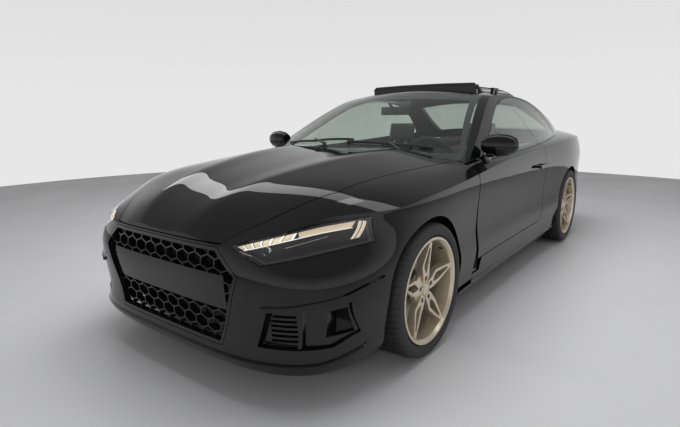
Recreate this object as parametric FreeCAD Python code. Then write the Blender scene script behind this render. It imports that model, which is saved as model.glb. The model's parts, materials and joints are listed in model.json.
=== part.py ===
# Two-door coupe car, built from its real panels, glass, running gear and cabin.
# Frame: +X is the car's left, -Y is forwards, +Z is up, the floor is z = 0. Millimetres.
import FreeCAD, Part
import math
import os

V = FreeCAD.Vector

# Driving dimensions
LENGTH = 4697.0
WHEELBASE = 2764.0
FRONT_OVERHANG = 870.0
NOSE_Y = -LENGTH / 2
TAIL_Y = LENGTH / 2
FRONT_AXLE_Y = NOSE_Y + FRONT_OVERHANG
REAR_AXLE_Y = FRONT_AXLE_Y + WHEELBASE
BELT_Z = 930.0

# Plan outline of the body side at bumper height, from nose centre to tail centre, as control points (x, y)
PLAN_OUTLINE = [
    (0, -2349), (240, -2349), (470, -2337), (652, -2285), (788, -2175), (870, -1985),
    (902, -1760), (911, -1480), (905, -1200), (896, -900), (891, -500), (889, 0),
    (892, 500), (903, 900), (912, 1290), (900, 1620), (868, 1900), (795, 2120),
    (650, 2260), (450, 2325), (230, 2349), (0, 2349),
]
# Height of each row of the side surface, with its inward step at the nose, under the lamps, along the
# flank and at the tail
SIDE_ROWS = [
    (130, 75, -20, 78, 120), (185, 12, -25, 22, 80), (250, 22, -10, 22, 45), (330, 24, 0, 5, 20),
    (405, 14, 0, -5, 6), (480, 3, 0, 6, 0), (560, 0, 6, 9, 2), (640, 12, 105, 5, 14), (710, 38, 178, -1, 40),
    (780, 85, 190, -7, 50), (850, 150, 170, 4, 46), (930, 230, 90, 30, 30), (1060, 340, 40, 80, 5),
]
FLARE_HEIGHT_Z = 600.0
FLARE_OUT = 13.0
LAMP_Y = -2100.0


def clamped(count, degree):
    """Knots and multiplicities of an open, evenly spaced spline with count control points."""
    spans = count - degree
    return list(range(spans + 1)), [degree + 1] + [1] * (spans - 1) + [degree + 1]


def spline_surface(rows, degree=3):
    """Smooth surface drawn towards a grid of control points."""
    surface = Part.BSplineSurface()
    u_knots, u_mults = clamped(len(rows), degree)
    v_knots, v_mults = clamped(len(rows[0]), degree)
    surface.buildFromPolesMultsKnots(
        rows, u_mults, v_mults, u_knots, v_knots, False, False, degree, degree
    )
    return surface


def spline_value(points, y):
    """Straight interpolation in a table of (y, value) pairs."""
    if y <= points[0][0]:
        return points[0][1]
    for (y0, v0), (y1, v1) in zip(points, points[1:]):
        if y <= y1:
            return v0 + (v1 - v0) * (y - y0) / (y1 - y0)
    return points[-1][1]


def bump(distance, width):
    return math.exp(-((distance / width) ** 2))


def outline_normals(points):
    """Outward direction of the plan outline at each control point."""
    found = []
    for i, _ in enumerate(points):
        if i in (0, len(points) - 1):
            found.append((0.0, -1.0 if i == 0 else 1.0))
            continue
        dx = points[i + 1][0] - points[i - 1][0]
        dy = points[i + 1][1] - points[i - 1][1]
        size = math.hypot(dx, dy)
        found.append((dy / size, -dx / size))
    return found


def side_poles(inset=0.0):
    """Control points of the body side surface, moved inwards by inset."""
    rows = []
    for (x, y), (nx, ny) in zip(PLAN_OUTLINE, outline_normals(PLAN_OUTLINE)):
        nose = ny * ny if ny < 0 else 0.0
        tail = ny * ny if ny > 0 else 0.0
        flank = nx * nx
        column = []
        for z, at_nose, at_lamp, at_flank, at_tail in SIDE_ROWS:
            lamp = bump(y - LAMP_Y, 165) * min(1, x / 600) ** 2
            step = nose * at_nose + lamp * at_lamp + flank * at_flank + tail * at_tail + inset
            flare = FLARE_OUT * bump(z - FLARE_HEIGHT_Z, 190) * flank
            flare *= bump(y - FRONT_AXLE_Y, 330) + bump(y - REAR_AXLE_Y, 350)
            out = flare - step
            column.append(V(max(0.0, x + nx * out) if nx else 0.0, y + ny * out, z))
        rows.append(column)
    return rows


# Top surface. Each row runs from nose to tail: heights and half-widths are tables over y.
TOP_STATIONS = [
    -2480, -2410, -2345, -2280, -2190, -2060, -1880, -1650, -1400, -1150, -900, -650,
    -250, 200, 650, 1050, 1400, 1700, 1950, 2130, 2240, 2310, 2380, 2480,
]
CENTRE_Z = [
    (-2480, 420), (-2410, 545), (-2345, 655), (-2280, 725), (-2190, 785), (-2060, 835),
    (-1880, 878), (-1650, 915), (-1400, 944), (-1150, 962), (-900, 972), (-650, 960),
    (-250, 940), (650, 950), (1400, 1000), (1700, 1020), (1950, 1022), (2130, 1022),
    (2240, 1024), (2310, 985), (2380, 880), (2480, 700),
]
CREASE_X = [
    (-2480, 150), (-2250, 200), (-2000, 269), (-1600, 340), (-900, 440), (-600, 460), (1700, 440),
    (1950, 400), (2130, 360), (2240, 320), (2310, 250), (2380, 180), (2480, 120),
]
CREASE_RISE = [(-2345, 0), (-2190, 8), (-1880, 10), (-1400, 10), (-900, 4), (-600, 0), (2480, 0)]
SHUT_X = [
    (-2480, 250), (-2316, 375), (-2155, 500), (-1865, 650), (-1440, 695), (-930, 740),
    (-630, 790), (-250, 805),
    (650, 800), (1100, 775), (1500, 730), (1700, 700), (1950, 640), (2130, 580), (2240, 500), (2310, 400),
    (2380, 300), (2480, 200),
]
SHUT_Z = [
    (-2480, 430), (-2410, 540), (-2316, 663), (-2155, 750), (-1865, 862), (-1440, 890),
    (-930, 903), (-630, 915),
    (-250, 918), (200, 930), (650, 945), (1050, 962), (1400, 975), (1700, 985), (1950, 992), (2130, 996),
    (2240, 1000), (2310, 965), (2380, 860), (2480, 690),
]
EDGE_X = [
    (-2480, 520), (-2345, 600), (-2280, 645), (-2190, 700), (-2060, 790), (-1880, 895),
    (-1650, 935), (1500, 940),
    (1700, 930), (1950, 880), (2130, 815), (2240, 705), (2310, 555), (2380, 435), (2480, 335),
]
EDGE_Z = [
    (-2480, 390), (-2410, 510), (-2345, 632), (-2280, 645), (-2190, 658), (-2060, 685),
    (-1880, 724), (-1650, 786),
    (-1400, 796), (-1150, 798), (-900, 805), (-650, 810), (-250, 823), (200, 842), (650, 866), (1050, 890),
    (1400, 908), (1700, 915), (1950, 915), (2130, 910), (2240, 900), (2310, 860), (2380, 780), (2480, 640),
]


def top_poles(drop=0.0):
    """Control points of the surface over bonnet, wings, shoulders and deck, lowered by drop."""
    rows = []
    for y in TOP_STATIONS:
        centre = spline_value(CENTRE_Z, y)
        crease_x = spline_value(CREASE_X, y)
        crease = centre + spline_value(CREASE_RISE, y)
        shut_x = spline_value(SHUT_X, y)
        shut = spline_value(SHUT_Z, y)
        edge_x = spline_value(EDGE_X, y)
        edge = spline_value(EDGE_Z, y)
        across = [
            (0, centre), (crease_x * 0.55, centre + 1),
            (crease_x - 22, crease + 2), (crease_x + 30, crease - 5),
            ((crease_x + shut_x) / 2 + 10, crease * 0.45 + shut * 0.55 + 6), (shut_x, shut + 2),
            (shut_x * 0.5 + edge_x * 0.5, shut * 0.6 + edge * 0.4 + 8),
            (shut_x * 0.15 + edge_x * 0.85, shut * 0.18 + edge * 0.82 + 6),
            (edge_x, edge), (edge_x + 105, edge - 105),
        ]
        left = [V(x, y, z - drop) for x, z in across]
        rows.append([V(-p.x, p.y, p.z) for p in reversed(left[1:])] + left)
    return rows


# Roof surface from the windscreen's foot to the rear window's foot. Each control point is
# (y, height, how far the row bends in plan, how much it drops at the side).
ROOF_PROFILE = [
    (-1260, 868, 0.50, 0.02), (-1150, 932, 0.51, 0.02), (-1030, 985, 0.52, 0.02), (-850, 1066, 0.52, 0.02),
    (-650, 1157, 0.52, 0.02), (-450, 1244, 0.54, 0.03), (-300, 1307, 0.56, 0.05), (-150, 1345, 0.40, 0.11),
    (50, 1366, 0.20, 0.16), (300, 1373, 0.05, 0.17), (550, 1367, 0.0, 0.17), (780, 1346, 0.0, 0.16),
    (980, 1308, -0.1, 0.14), (1200, 1250, -0.2, 0.10), (1430, 1165, -0.25, 0.06), (1650, 1085, -0.25, 0.04),
    (1830, 1018, -0.25, 0.03), (1950, 975, -0.25, 0.03), (2080, 925, -0.25, 0.03),
]
ROOF_ACROSS = [0, 110, 220, 330, 440, 540, 620, 700, 790, 880]

# Half-width of the cabin at the height of the window sill, over y, and how it leans in above.
CABIN_HALF_WIDTH = [
    (-1400, 755), (-1050, 782), (-800, 800), (-500, 812), (-150, 819), (250, 820), (650, 814), (1000, 796),
    (1350, 760), (1700, 700), (2000, 620), (2300, 520),
]
CABIN_ROWS = [860, 930, 1020, 1120, 1220, 1310, 1400, 1480]
CABIN_LEAN = 0.45
CABIN_CURVE = 0.25


def roof_poles(drop=0.0):
    """Control points of the windscreen, roof and rear window surface, lowered by drop."""
    rows = []
    for y, z, bend, crown in ROOF_PROFILE:
        left = [V(x, y + bend * x * x / 1000, z - crown * x * x / 1000 - drop) for x in ROOF_ACROSS]
        rows.append([V(-p.x, p.y, p.z) for p in reversed(left[1:])] + left)
    return rows


def glass_poles(inset=0.0):
    """Control points of the left side window surface, moved inwards by inset."""
    rows = []
    for y, half in CABIN_HALF_WIDTH:
        column = []
        for z in CABIN_ROWS:
            up = z - BELT_Z
            column.append(V(half - CABIN_LEAN * up - CABIN_CURVE * up * abs(up) / 1000 - inset, y, z))
        rows.append(column)
    return rows


# Thicknesses, gaps and joint axes
SKIN = 34.0
ROOF_SKIN = 36.0
GAP = 3.0
MOVING_GAP = 6.0
PILLAR_FOOT_GAP = 17.0
DOOR_FRONT_Y = -885.0
DOOR_REAR_Y = 500.0
DOOR_BOTTOM_Z = 338.0
DOOR_INNER_X = 738.0
HINGE_X = 880.0
HINGE_Y = DOOR_FRONT_Y + 45.0
HINGE_CLEAR = 58.0
BONNET_EDGE_Z = 668.0

# Wheels
TYRE_RADIUS = 333.0
TYRE_WIDTH = 265.0
RIM_RADIUS = 262.0
BEAD_RADIUS = 254.0
WHEEL_X = 786.0
HUB_Z = TYRE_RADIUS
DISC_RADIUS = 172.0
STEER_X = 745.0
KING_PIN_RADIUS = 12.0
TYRE_SIDES = 60
LUG_CIRCLE_RADIUS = 56.0
ARCH_RADIUS = 364.0
WELL_RADIUS = 402.0
ARM_COUNT = 5

# Exhaust outlets
TIP_X = 560.0
TIP_Z = 262.0
TIP_RADIUS = 39.0
TIP_END_Y = 2268.0
JACK_Z = 148.0
JACK_START_Y = (-800.0, 640.0)

STEERING_CENTRE = (370.0, -440.0, 846.0)
STEERING_TILT = 68.0
STEERING_COLUMN_RADIUS = 34.0

# Honeycomb of the grille: cell pitch across, cell height, wall between cells, frame round them, recess
CELL_WIDTH = 80.0
CELL_HEIGHT = 62.0
CELL_WALL = 6.0
CELL_ROW_Z = 584.0
GRILLE_FRAME = 14.0
GRILLE_RECESS = 16.0
SMALLEST_CELL = 300.0
# Blank panel across the grille: half-width, bottom, top
BLANK_PANEL = (412.0, 392.0, 541.0)


def box(x0, x1, y0, y1, z0, z1):
    return Part.makeBox(x1 - x0, y1 - y0, z1 - z0, V(x0, y0, z0))


def prism_x(points, x0, x1):
    """Block whose outline is given in side view as (y, z), from x0 to x1."""
    wire = Part.makePolygon([V(x0, y, z) for y, z in points] + [V(x0, *points[0])])
    return Part.Face(wire).extrude(V(x1 - x0, 0, 0))


def prism_y(points, y0, y1):
    """Block whose outline is given in front view as (x, z), from y0 to y1."""
    wire = Part.makePolygon([V(x, y0, z) for x, z in points] + [V(points[0][0], y0, points[0][1])])
    return Part.Face(wire).extrude(V(0, y1 - y0, 0))


def prism_z(points, z0, z1):
    """Block whose outline is given in plan as (x, y), from z0 to z1."""
    wire = Part.makePolygon([V(x, y, z0) for x, y in points] + [V(*points[0], z0)])
    return Part.Face(wire).extrude(V(0, 0, z1 - z0))


def cylinder(radius, start, end):
    axis = V(*end) - V(*start)
    return Part.makeCylinder(radius, axis.Length, V(*start), axis)


def wheel_cylinder(radius, y, x0, x1):
    return cylinder(radius, (x0, y, HUB_Z), (x1, y, HUB_Z))


def mirrored(shape):
    return shape.mirror(V(0, 0, 0), V(1, 0, 0))


def both_sides(shape):
    return shape.fuse(mirrored(shape))


def save(name, shape):
    """Write one node, as a solid or a compound of solids."""
    solids = [s for s in shape.Solids if s.Volume > 500]
    if not solids:
        raise ValueError(name + " has no solid")
    shape = solids[0] if len(solids) == 1 else Part.makeCompound(solids)
    shape.exportStep("parts/" + name + ".step")
    print(name, len(solids), "solids", round(shape.Volume / 1e6, 2), "litres", "valid", shape.isValid())


def side_body(inset):
    """Closed solid inside the body side surface, all round the car."""
    half = side_poles(inset)
    right = [[V(-p.x, p.y, p.z) for p in column] for column in reversed(half)]
    wall = Part.Face(spline_surface(right[:-1] + half))
    ring = [edge for edge in wall.Edges if max(abs(v.Z - edge.Vertexes[0].Z) for v in edge.Vertexes) < 1]
    caps = [Part.Face(Part.Wire([edge])) for edge in ring]
    closed = Part.makeShell([wall] + caps)
    closed.sewShape()
    return Part.makeSolid(closed)


def height_body(rows, floor_z):
    """Solid below a surface, down to a level floor."""
    below = Part.Face(spline_surface(rows)).extrude(V(0, 0, -1500))
    return below.common(box(-1500, 1500, -3000, 3000, floor_z, 2500))


def lower_body(inset, drop):
    return side_body(inset).common(height_body(top_poles(drop), 60))


def cabin_body(inset, drop):
    """Windows, roof and pillars as one solid, down to below the shoulders."""
    side = Part.Face(spline_surface(glass_poles(inset))).extrude(V(-1900, 0, 0))
    upper = height_body(roof_poles(drop), 862)
    return upper.common(side).common(mirrored(side))


# Outlines of openings and panels
WINDSCREEN = [(-790, 905), (790, 905), (556, 1322), (300, 1334), (0, 1338), (-300, 1334), (-556, 1322)]
REAR_WINDOW = [
    (-470, 985), (-250, 968), (0, 962), (250, 968), (470, 985), (560, 1400), (600, 1700), (590, 1795),
    (300, 1812), (0, 1818), (-300, 1812), (-590, 1795), (-600, 1700), (-560, 1400),
]
SIDE_WINDOW = [
    (-690, 870), (-640, 918), (-420, 1040), (-200, 1154), (-40, 1225), (110, 1268), (260, 1287), (430, 1293),
    (620, 1286), (800, 1262), (960, 1218), (1120, 1148), (1270, 1060), (1350, 1003),
    (1352, 980), (1320, 955),
    (900, 890),
]
QUARTER_SPLIT = [(560, 880), (530, 960), (280, 1250), (250, 1330), (1500, 1330), (1500, 880)]
DOOR_SIDE = [
    (DOOR_FRONT_Y, 1000), (DOOR_FRONT_Y, 700), (DOOR_FRONT_Y + 14, 480), (DOOR_FRONT_Y + 36, DOOR_BOTTOM_Z),
    (DOOR_REAR_Y - 110, DOOR_BOTTOM_Z), (DOOR_REAR_Y - 40, 400), (DOOR_REAR_Y, 560), (DOOR_REAR_Y, 1000),
]
DOOR_PLAN = [
    (DOOR_INNER_X, DOOR_FRONT_Y), (1000, DOOR_FRONT_Y), (1000, DOOR_REAR_Y), (860, DOOR_REAR_Y),
    (DOOR_INNER_X, DOOR_REAR_Y - 22),
]
GRILLE = [(-378, 655), (378, 655), (500, 552), (385, 236), (-385, 236), (-500, 552)]
LAMP_FRONT = [(448, 664), (585, 603), (852, 655), (884, 760), (800, 752), (700, 738), (620, 716), (540, 696)]
LAMP_PLAN = [
    (462, -2270), (545, -2235), (605, -2175), (632, -2100), (672, -2020), (730, -1945), (790, -1870),
    (1000, -1870), (1000, -2400), (440, -2400),
]
# Light strip along the top of the lamp, down its outer end, and the round lamp below it
LIGHT_STRIP = [
    (468, 668), (540, 692), (620, 712), (700, 734), (800, 748), (880, 756), (872, 672),
    (846, 670), (842, 722),
    (800, 722), (700, 708), (620, 688), (540, 668), (500, 656),
]
PROJECTOR = (590.0, 655.0, 22.0)
INTAKE = [(560, 268), (610, 420), (842, 440), (850, 300), (800, 262)]
INTAKE_SLOTS = (596.0, 694.0, 284.0, 404.0)
AIR_CURTAIN = [(772, 300), (784, 412), (826, 418), (832, 306)]
# Raised edge above the corner intake, and the lip under the front bumper
BLADE = [(596, 424), (700, 430), (842, 450), (925, 505), (925, 530), (838, 472), (700, 448), (592, 440)]
LIP = [(-2500, 146), (-2500, 194), (-2150, 198), (-2010, 226), (-1945, 236), (-1945, 146)]
SKIRT = [(-1090, 146), (-1090, 200), (880, 216), (880, 146)]
DIFFUSER = [(-452, 100), (-415, 262), (415, 262), (452, 100)]
PLATE_RECESS = [(-275, 455), (-262, 588), (262, 588), (275, 455)]
RAISED = 12.0
# Door handle: ends along the car, height, and how far it stands out
HANDLE = (236.0, 446.0, 780.0, 36.0)
TAIL_LAMP = [(512, 742), (790, 735), (980, 770), (980, 890), (512, 905)]
# Side view of the joint between bumper and wing, front and rear
FRONT_JOINT = [
    (-2600, 60), (-2600, 760), (-2240, 760), (-2240, 668), (-1935, 655), (-1700, 530), (-1700, 60),
]
REAR_JOINT = [(2600, 60), (2600, 735), (2250, 728), (1990, 700), (1640, 600), (1500, 530), (1500, 60)]
LID_PLAN = [(0, 1832), (300, 1826), (540, 1814), (566, 1846), (566, 2500), (0, 2500)]
LID_BOTTOM_Z = 745.0
# Sunroof opening as half-width, front and rear
SUNROOF = (462.0, 90.0, 560.0)


def offset(points, amount):
    """Outline moved outwards by amount, or inwards where it is negative."""
    wire = Part.makePolygon([V(x, y, 0) for x, y in points] + [V(*points[0], 0)])
    moved = wire.makeOffset2D(amount, 2)
    return [(v.X, v.Y) for v in moved.OrderedVertexes]


def bonnet_outline(outwards):
    """Plan of the bonnet, out to the shut lines beside it and the foot of the windscreen."""
    edge = [(spline_value(SHUT_X, y), y) for y in (-2316, -2155, -2010, -1865, -1650, -1440, -1180)]
    edge += [(spline_value(SHUT_X, -930), -932), (560, -985), (300, -1040)]
    left = [(0, -2500), (edge[0][0], -2500)] + edge + [(0, -1062)]
    return offset(left[1:] + [(-x, y) for x, y in reversed(left[1:-1])], outwards)


def lid_outline(outwards):
    return offset(LID_PLAN[1:-1] + [(-x, y) for x, y in reversed(LID_PLAN[1:-1])], outwards)


def wheel_zone(y, radius, inner_x):
    """Space round one wheel, open downwards."""
    return wheel_cylinder(radius, y, inner_x, 1100).fuse(box(inner_x, 1100, y - radius, y + radius, 0, HUB_Z))


def slab(shape, x0, x1, y0, y1, z0, z1):
    return shape.common(box(x0, x1, y0, y1, z0, z1))


def body_panels():
    """The painted shell, cut along its shut lines, and the glass of the cabin."""
    outer = lower_body(0, 0)
    inner = lower_body(SKIN, SKIN)
    cabin = cabin_body(0, 0)
    cabin_inner = cabin_body(ROOF_SKIN + 8, ROOF_SKIN)
    glass_inner = cabin_body(6, 6)
    arches = Part.makeCompound([
        side for y in (FRONT_AXLE_Y, REAR_AXLE_Y)
        for side in (wheel_zone(y, ARCH_RADIUS, 600), mirrored(wheel_zone(y, ARCH_RADIUS, 600)))
    ])
    raised = side_body(-RAISED).cut(inner)
    shell = outer.cut(inner).cut(cabin_inner).cut(arches)

    bonnet_block = prism_z(bonnet_outline(0), BONNET_EDGE_Z, 1100)
    bonnet_hole = prism_z(bonnet_outline(5), BONNET_EDGE_Z - 5, 1100)
    lid_block = prism_z(lid_outline(0), LID_BOTTOM_Z, 1100)
    lid_hole = prism_z(lid_outline(5), LID_BOTTOM_Z - 5, 1100)
    lamp_zone = prism_y(LAMP_FRONT, -2450, -1800).common(prism_z(LAMP_PLAN, 500, 900))
    lamp_hole = prism_y(offset(LAMP_FRONT, GAP), -2450, -1800)
    lamp_hole = lamp_hole.common(prism_z(offset(LAMP_PLAN, GAP), 500, 900))
    tail_zone = prism_y(TAIL_LAMP, 1960, 2500)
    tail_hole = prism_y(offset(TAIL_LAMP, GAP), 1957, 2500)
    intake_zone = prism_y(INTAKE, -2500, -1900)
    grille_zone = prism_y(GRILLE, -2500, -2200)
    front_zone = prism_x(FRONT_JOINT, -1100, 1100)
    rear_zone = prism_x(REAR_JOINT, -1100, 1100)

    wider = [
        (y + math.copysign(MOVING_GAP, y), z - (MOVING_GAP if z < 450 else 0)) for y, z in DOOR_SIDE
    ]
    door_hole = prism_x(wider, DOOR_INNER_X - 60, 1100)
    door_hole = door_hole.fuse(cylinder(HINGE_CLEAR, (HINGE_X, HINGE_Y, 250), (HINGE_X, HINGE_Y, 1000)))
    holes = Part.makeCompound([bonnet_hole, lid_hole])
    side_holes = Part.makeCompound([door_hole, mirrored(door_hole)])
    lamp_holes = Part.makeCompound([lamp_hole, mirrored(lamp_hole)])
    tail_holes = Part.makeCompound([tail_hole, mirrored(tail_hole)])

    fixed = shell.cut(holes).cut(side_holes).cut(lamp_holes).cut(tail_holes)
    nodes = {}
    nodes["bonnet"] = outer.cut(inner).common(bonnet_block).cut(cabin)
    nodes["boot_lid"] = outer.cut(inner).common(lid_block).cut(cabin)
    bumper = slab(fixed, -1000, 1000, -2500, -1500, 60, 800).common(front_zone)
    blade = raised.common(prism_y(BLADE, -2500, -1850))
    lip = raised.common(prism_x(LIP, -1000, 1000))
    bumper = bumper.cut(grille_zone).cut(Part.makeCompound([intake_zone, mirrored(intake_zone)]))
    nodes["front_bumper"] = bumper.fuse([blade, mirrored(blade), lip]).cut(arches)
    tip_holes = [cylinder(TIP_RADIUS + 14, (x, 2100, TIP_Z), (x, 2400, TIP_Z)) for x in (-TIP_X, TIP_X)]
    rear_bumper = slab(fixed, -1000, 1000, 1400, 2500, 60, 800).common(rear_zone)
    rear_skin = outer.cut(inner)
    for outline, inwards in ((DIFFUSER, -20), (PLATE_RECESS, -14)):
        pocket = prism_y(outline, 2000, 2500)
        rear_bumper = rear_bumper.cut(pocket).fuse(rear_skin.translated(V(0, inwards, 0)).common(pocket))
    fins = [box(x - 4, x + 4, 2200, 2308, 140, 250) for x in (-270, -90, 90, 270)]
    rear_bumper = rear_bumper.fuse([fin.common(outer) for fin in fins])
    nodes["rear_bumper"] = rear_bumper.cut(Part.makeCompound(tip_holes))
    wings = slab(fixed, -1000, 1000, -2300, DOOR_FRONT_Y - MOVING_GAP - 0.01, 224, 1100).cut(front_zone)
    cowl_box = box(-700, 700, -1110, -600, 800, 1100)
    nodes["front_fenders"] = wings.cut(cowl_box)
    nodes["cowl"] = slab(fixed, -697, 697, -1110, -600, 800, 1100).translated(V(0, 0, -16))
    rear = slab(fixed, 0, 1000, DOOR_FRONT_Y - GAP, 2500, 60, 1100).cut(rear_zone)
    rear = rear.cut(box(-10, 700, -1110, -597, 800, 1100))
    nodes["lamp"] = outer.common(lamp_zone)
    nodes["tail_lamps"] = both_sides(outer.cut(inner).common(tail_zone).cut(lid_hole))
    nodes["grille_skin"] = outer.cut(inner).common(prism_y(offset(GRILLE, -GAP), -2500, -2200))
    nodes["intake_skin"] = outer.cut(inner).common(prism_y(offset(INTAKE, -GAP), -2500, -1900))
    nodes["skirt"] = slab(raised.common(prism_x(SKIRT, 0, 1000)), 700, 1000, -1090, 880, 146, 220)

    door = outer.common(prism_x(DOOR_SIDE, DOOR_INNER_X, 1100)).common(prism_z(DOOR_PLAN, 200, 1000))
    door = door.cut(box(700, 792, -900, -560, 888, 1000))
    nodes["door"] = door.fuse(door_handle())

    glass_shell = cabin.cut(glass_inner)
    nodes["windscreen"] = glass_shell.common(prism_y(WINDSCREEN, -1300, 60)).cut(outer)
    nodes["rear_window"] = glass_shell.common(prism_z(REAR_WINDOW, 950, 1500)).cut(outer)
    quarter_cut = prism_x(QUARTER_SPLIT, 400, 1000)
    pane = slab(glass_shell, 300, 1000, -900, 1500, 860, 1400)
    nodes["quarter"] = pane.common(prism_x(SIDE_WINDOW, 400, 1000)).common(quarter_cut).cut(outer)
    door_pane = pane.common(prism_x(offset(SIDE_WINDOW, -MOVING_GAP), 400, 1000))
    nodes["door_glass"] = door_pane.cut(quarter_cut.translated(V(0, -MOVING_GAP, 0))).cut(outer)

    window_zone = prism_x(SIDE_WINDOW, 400, 1000)
    frame = cabin.cut(cabin_inner).cut(prism_y(WINDSCREEN, -1300, 60)).cut(prism_z(REAR_WINDOW, 950, 1500))
    frame = frame.cut(Part.makeCompound([window_zone, mirrored(window_zone)])).cut(outer)
    half_width, front_y, rear_y = SUNROOF
    roof_box = box(-545, 545, -420, 1180, 1150, 1500)
    sunroof_hole = box(-half_width, half_width, front_y, rear_y, 1200, 1500)
    nodes["roof"] = frame.common(roof_box).cut(sunroof_hole)
    pillars = slab(frame, 0, 1000, -1300, 2300, 870, 1500)
    pillars = pillars.cut(box(-547, 547, -422, 1182, 1150, 1500))
    pillars = pillars.cut(outer.translated(V(0, 0, MOVING_GAP)).common(door_hole))
    pillars = pillars.cut(slab(outer.translated(V(0, 0, PILLAR_FOOT_GAP)), 700, 1000, -900, -560, 800, 1000))
    nodes["side_frame"] = rear.fuse(pillars)
    nodes["outer"] = outer
    nodes["clear"] = lower_body(SKIN + GAP, SKIN + GAP)
    return nodes


def door_handle():
    """Bar handle that stands off the left door on two feet."""
    rear_y, front_y, z, out = HANDLE[0], HANDLE[1], HANDLE[2], HANDLE[3]
    skin = side_body(-out)
    bar = skin.cut(side_body(-out + 15)).common(box(700, 1100, rear_y, front_y, z - 12, z + 12))
    feet = [skin.common(box(840, 1100, y, y + 22, z - 10, z + 10)) for y in (rear_y + 3, front_y - 25)]
    return bar.fuse(feet)


def revolved(points, origin):
    """Ring from an outline of (along the axis, radius) points."""
    wire = Part.makePolygon([V(a, r, 0) for a, r in points] + [V(points[0][0], points[0][1], 0)])
    ring = Part.Face(wire).revolve(V(0, 0, 0), V(1, 0, 0), 360)
    return ring.translated(V(*origin))


def rounded(shape, radius):
    """The shape with all its edges rounded."""
    return shape.makeFillet(radius, shape.Edges)


def tyre(x, y):
    """Tyre drawn as a ring of flat bands."""
    half = TYRE_WIDTH / 2
    side = [
        (half - 24, BEAD_RADIUS + 1.5), (half - 22, RIM_RADIUS + 2), (half - 2, 284), (half, 298),
        (half - 8, 318), (half - 34, 330), (half - 70, TYRE_RADIUS),
    ]
    section = [(-a, r) for a, r in side] + [(a, r) for a, r in reversed(side)]
    rings = []
    for i in range(TYRE_SIDES):
        angle = 2 * math.pi * i / TYRE_SIDES
        rings.append([V(a, -r * math.sin(angle), -r * math.cos(angle)) for a, r in section])
    faces = []
    for i, ring in enumerate(rings):
        after = rings[(i + 1) % TYRE_SIDES]
        for j in range(len(section)):
            k = (j + 1) % len(section)
            faces.append(Part.Face(Part.makePolygon([ring[j], ring[k], after[k], after[j], ring[j]])))
    shell = Part.makeShell(faces)
    shell.sewShape()
    return Part.makeSolid(shell).translated(V(x, y, HUB_Z))


def along_radius(outline, x0, x1):
    """Block with an outline of (across, radius) points on the wheel's face, from x0 to x1."""
    wire = Part.makePolygon([V(x0, a, r) for a, r in outline] + [V(x0, *outline[0])])
    return Part.Face(wire).extrude(V(x1 - x0, 0, 0))


def wheel_arm():
    """One arm of the rim: two ridges that part at the hub and meet at the edge, with a slot between."""
    outside = [(-24, 40), (-37, 112), (-37, 130), (-11, 240), (11, 240), (37, 130), (37, 112), (24, 40)]
    slot = [(0, 78), (-15, 104), (-21, 126), (-7, 212), (7, 212), (21, 126), (15, 104)]
    side_view = [(58, 30), (92, 30), (95, 70), (93, 120), (117, 246), (86, 246), (62, 200), (60, 118)]
    dish = prism_z(side_view, -100, 100)
    dish.rotate(V(0, 0, 0), V(1, 0, 0), 90)
    return along_radius(outside, 40, 130).common(dish).cut(along_radius(slot, 40, 130))


def rim(x, y, outwards):
    """Wheel rim with five twin-ridged arms; outwards is 1 on the left and -1 on the right."""
    section = [
        (-116, 240), (-118, 251), (-112, BEAD_RADIUS), (-60, BEAD_RADIUS), (-40, 244),
        (40, 244), (70, BEAD_RADIUS),
        (112, BEAD_RADIUS), (118, RIM_RADIUS), (126, RIM_RADIUS), (126, 250), (112, 240),
        (60, 233), (-60, 236),
    ]
    wheel = revolved(section, (0, 0, 0))
    hub = revolved([(58, 0), (58, 80), (74, 78), (88, 44), (88, 34), (96, 30), (96, 0)], (0, 0, 0))
    arms, lug_holes = [], []
    for turn in range(ARM_COUNT):
        angle = 360 / ARM_COUNT * turn
        hole = cylinder(12.5, (66, 0, LUG_CIRCLE_RADIUS), (130, 0, LUG_CIRCLE_RADIUS))
        for shape, group in ((wheel_arm(), arms), (hole, lug_holes)):
            shape.rotate(V(0, 0, 0), V(1, 0, 0), angle)
            group.append(shape)
    wheel = wheel.fuse([hub] + arms).cut(Part.makeCompound(lug_holes))
    if outwards < 0:
        wheel = mirrored(wheel)
    return wheel.translated(V(x, y, HUB_Z))


def brake_disc(x, y, outwards):
    section = [
        (0, 88), (0, DISC_RADIUS), (28, DISC_RADIUS), (28, 92), (58, 92), (58, 20), (50, 20),
        (50, 84), (20, 84),
        (20, 88),
    ]
    disc = revolved(section, (0, 0, 0))
    if outwards < 0:
        disc = mirrored(disc)
    return disc.translated(V(x, y, HUB_Z))


def carrier(y, caliper_angle):
    """Left hub carrier with its stub and brake caliper, the caliper turned round the wheel by an angle."""
    x = WHEEL_X
    body = rounded(box(x - 108, x - 62, y - 62, y + 62, HUB_Z - 88, HUB_Z + 110), 12)
    body = body.fuse(cylinder(52, (x - 66, y, HUB_Z), (x - 2, y, HUB_Z)))
    body = body.fuse(cylinder(19.9, (x - 4, y, HUB_Z), (x + 57, y, HUB_Z)))
    caliper = rounded(box(x - 26, x + 52, y - 78, y + 78, HUB_Z + 118, HUB_Z + 214), 14)
    slot = wheel_cylinder(DISC_RADIUS + 6, y, x - 6, x + 34)
    caliper = caliper.cut(slot).cut(wheel_cylinder(112, y, x - 30, x + 80))
    bridge = box(x - 100, x - 12, y - 40, y + 40, HUB_Z + 40, HUB_Z + 178)
    caliper = caliper.fuse(bridge)
    caliper.rotate(V(0, y, HUB_Z), V(1, 0, 0), caliper_angle)
    return body.fuse(caliper)


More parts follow.
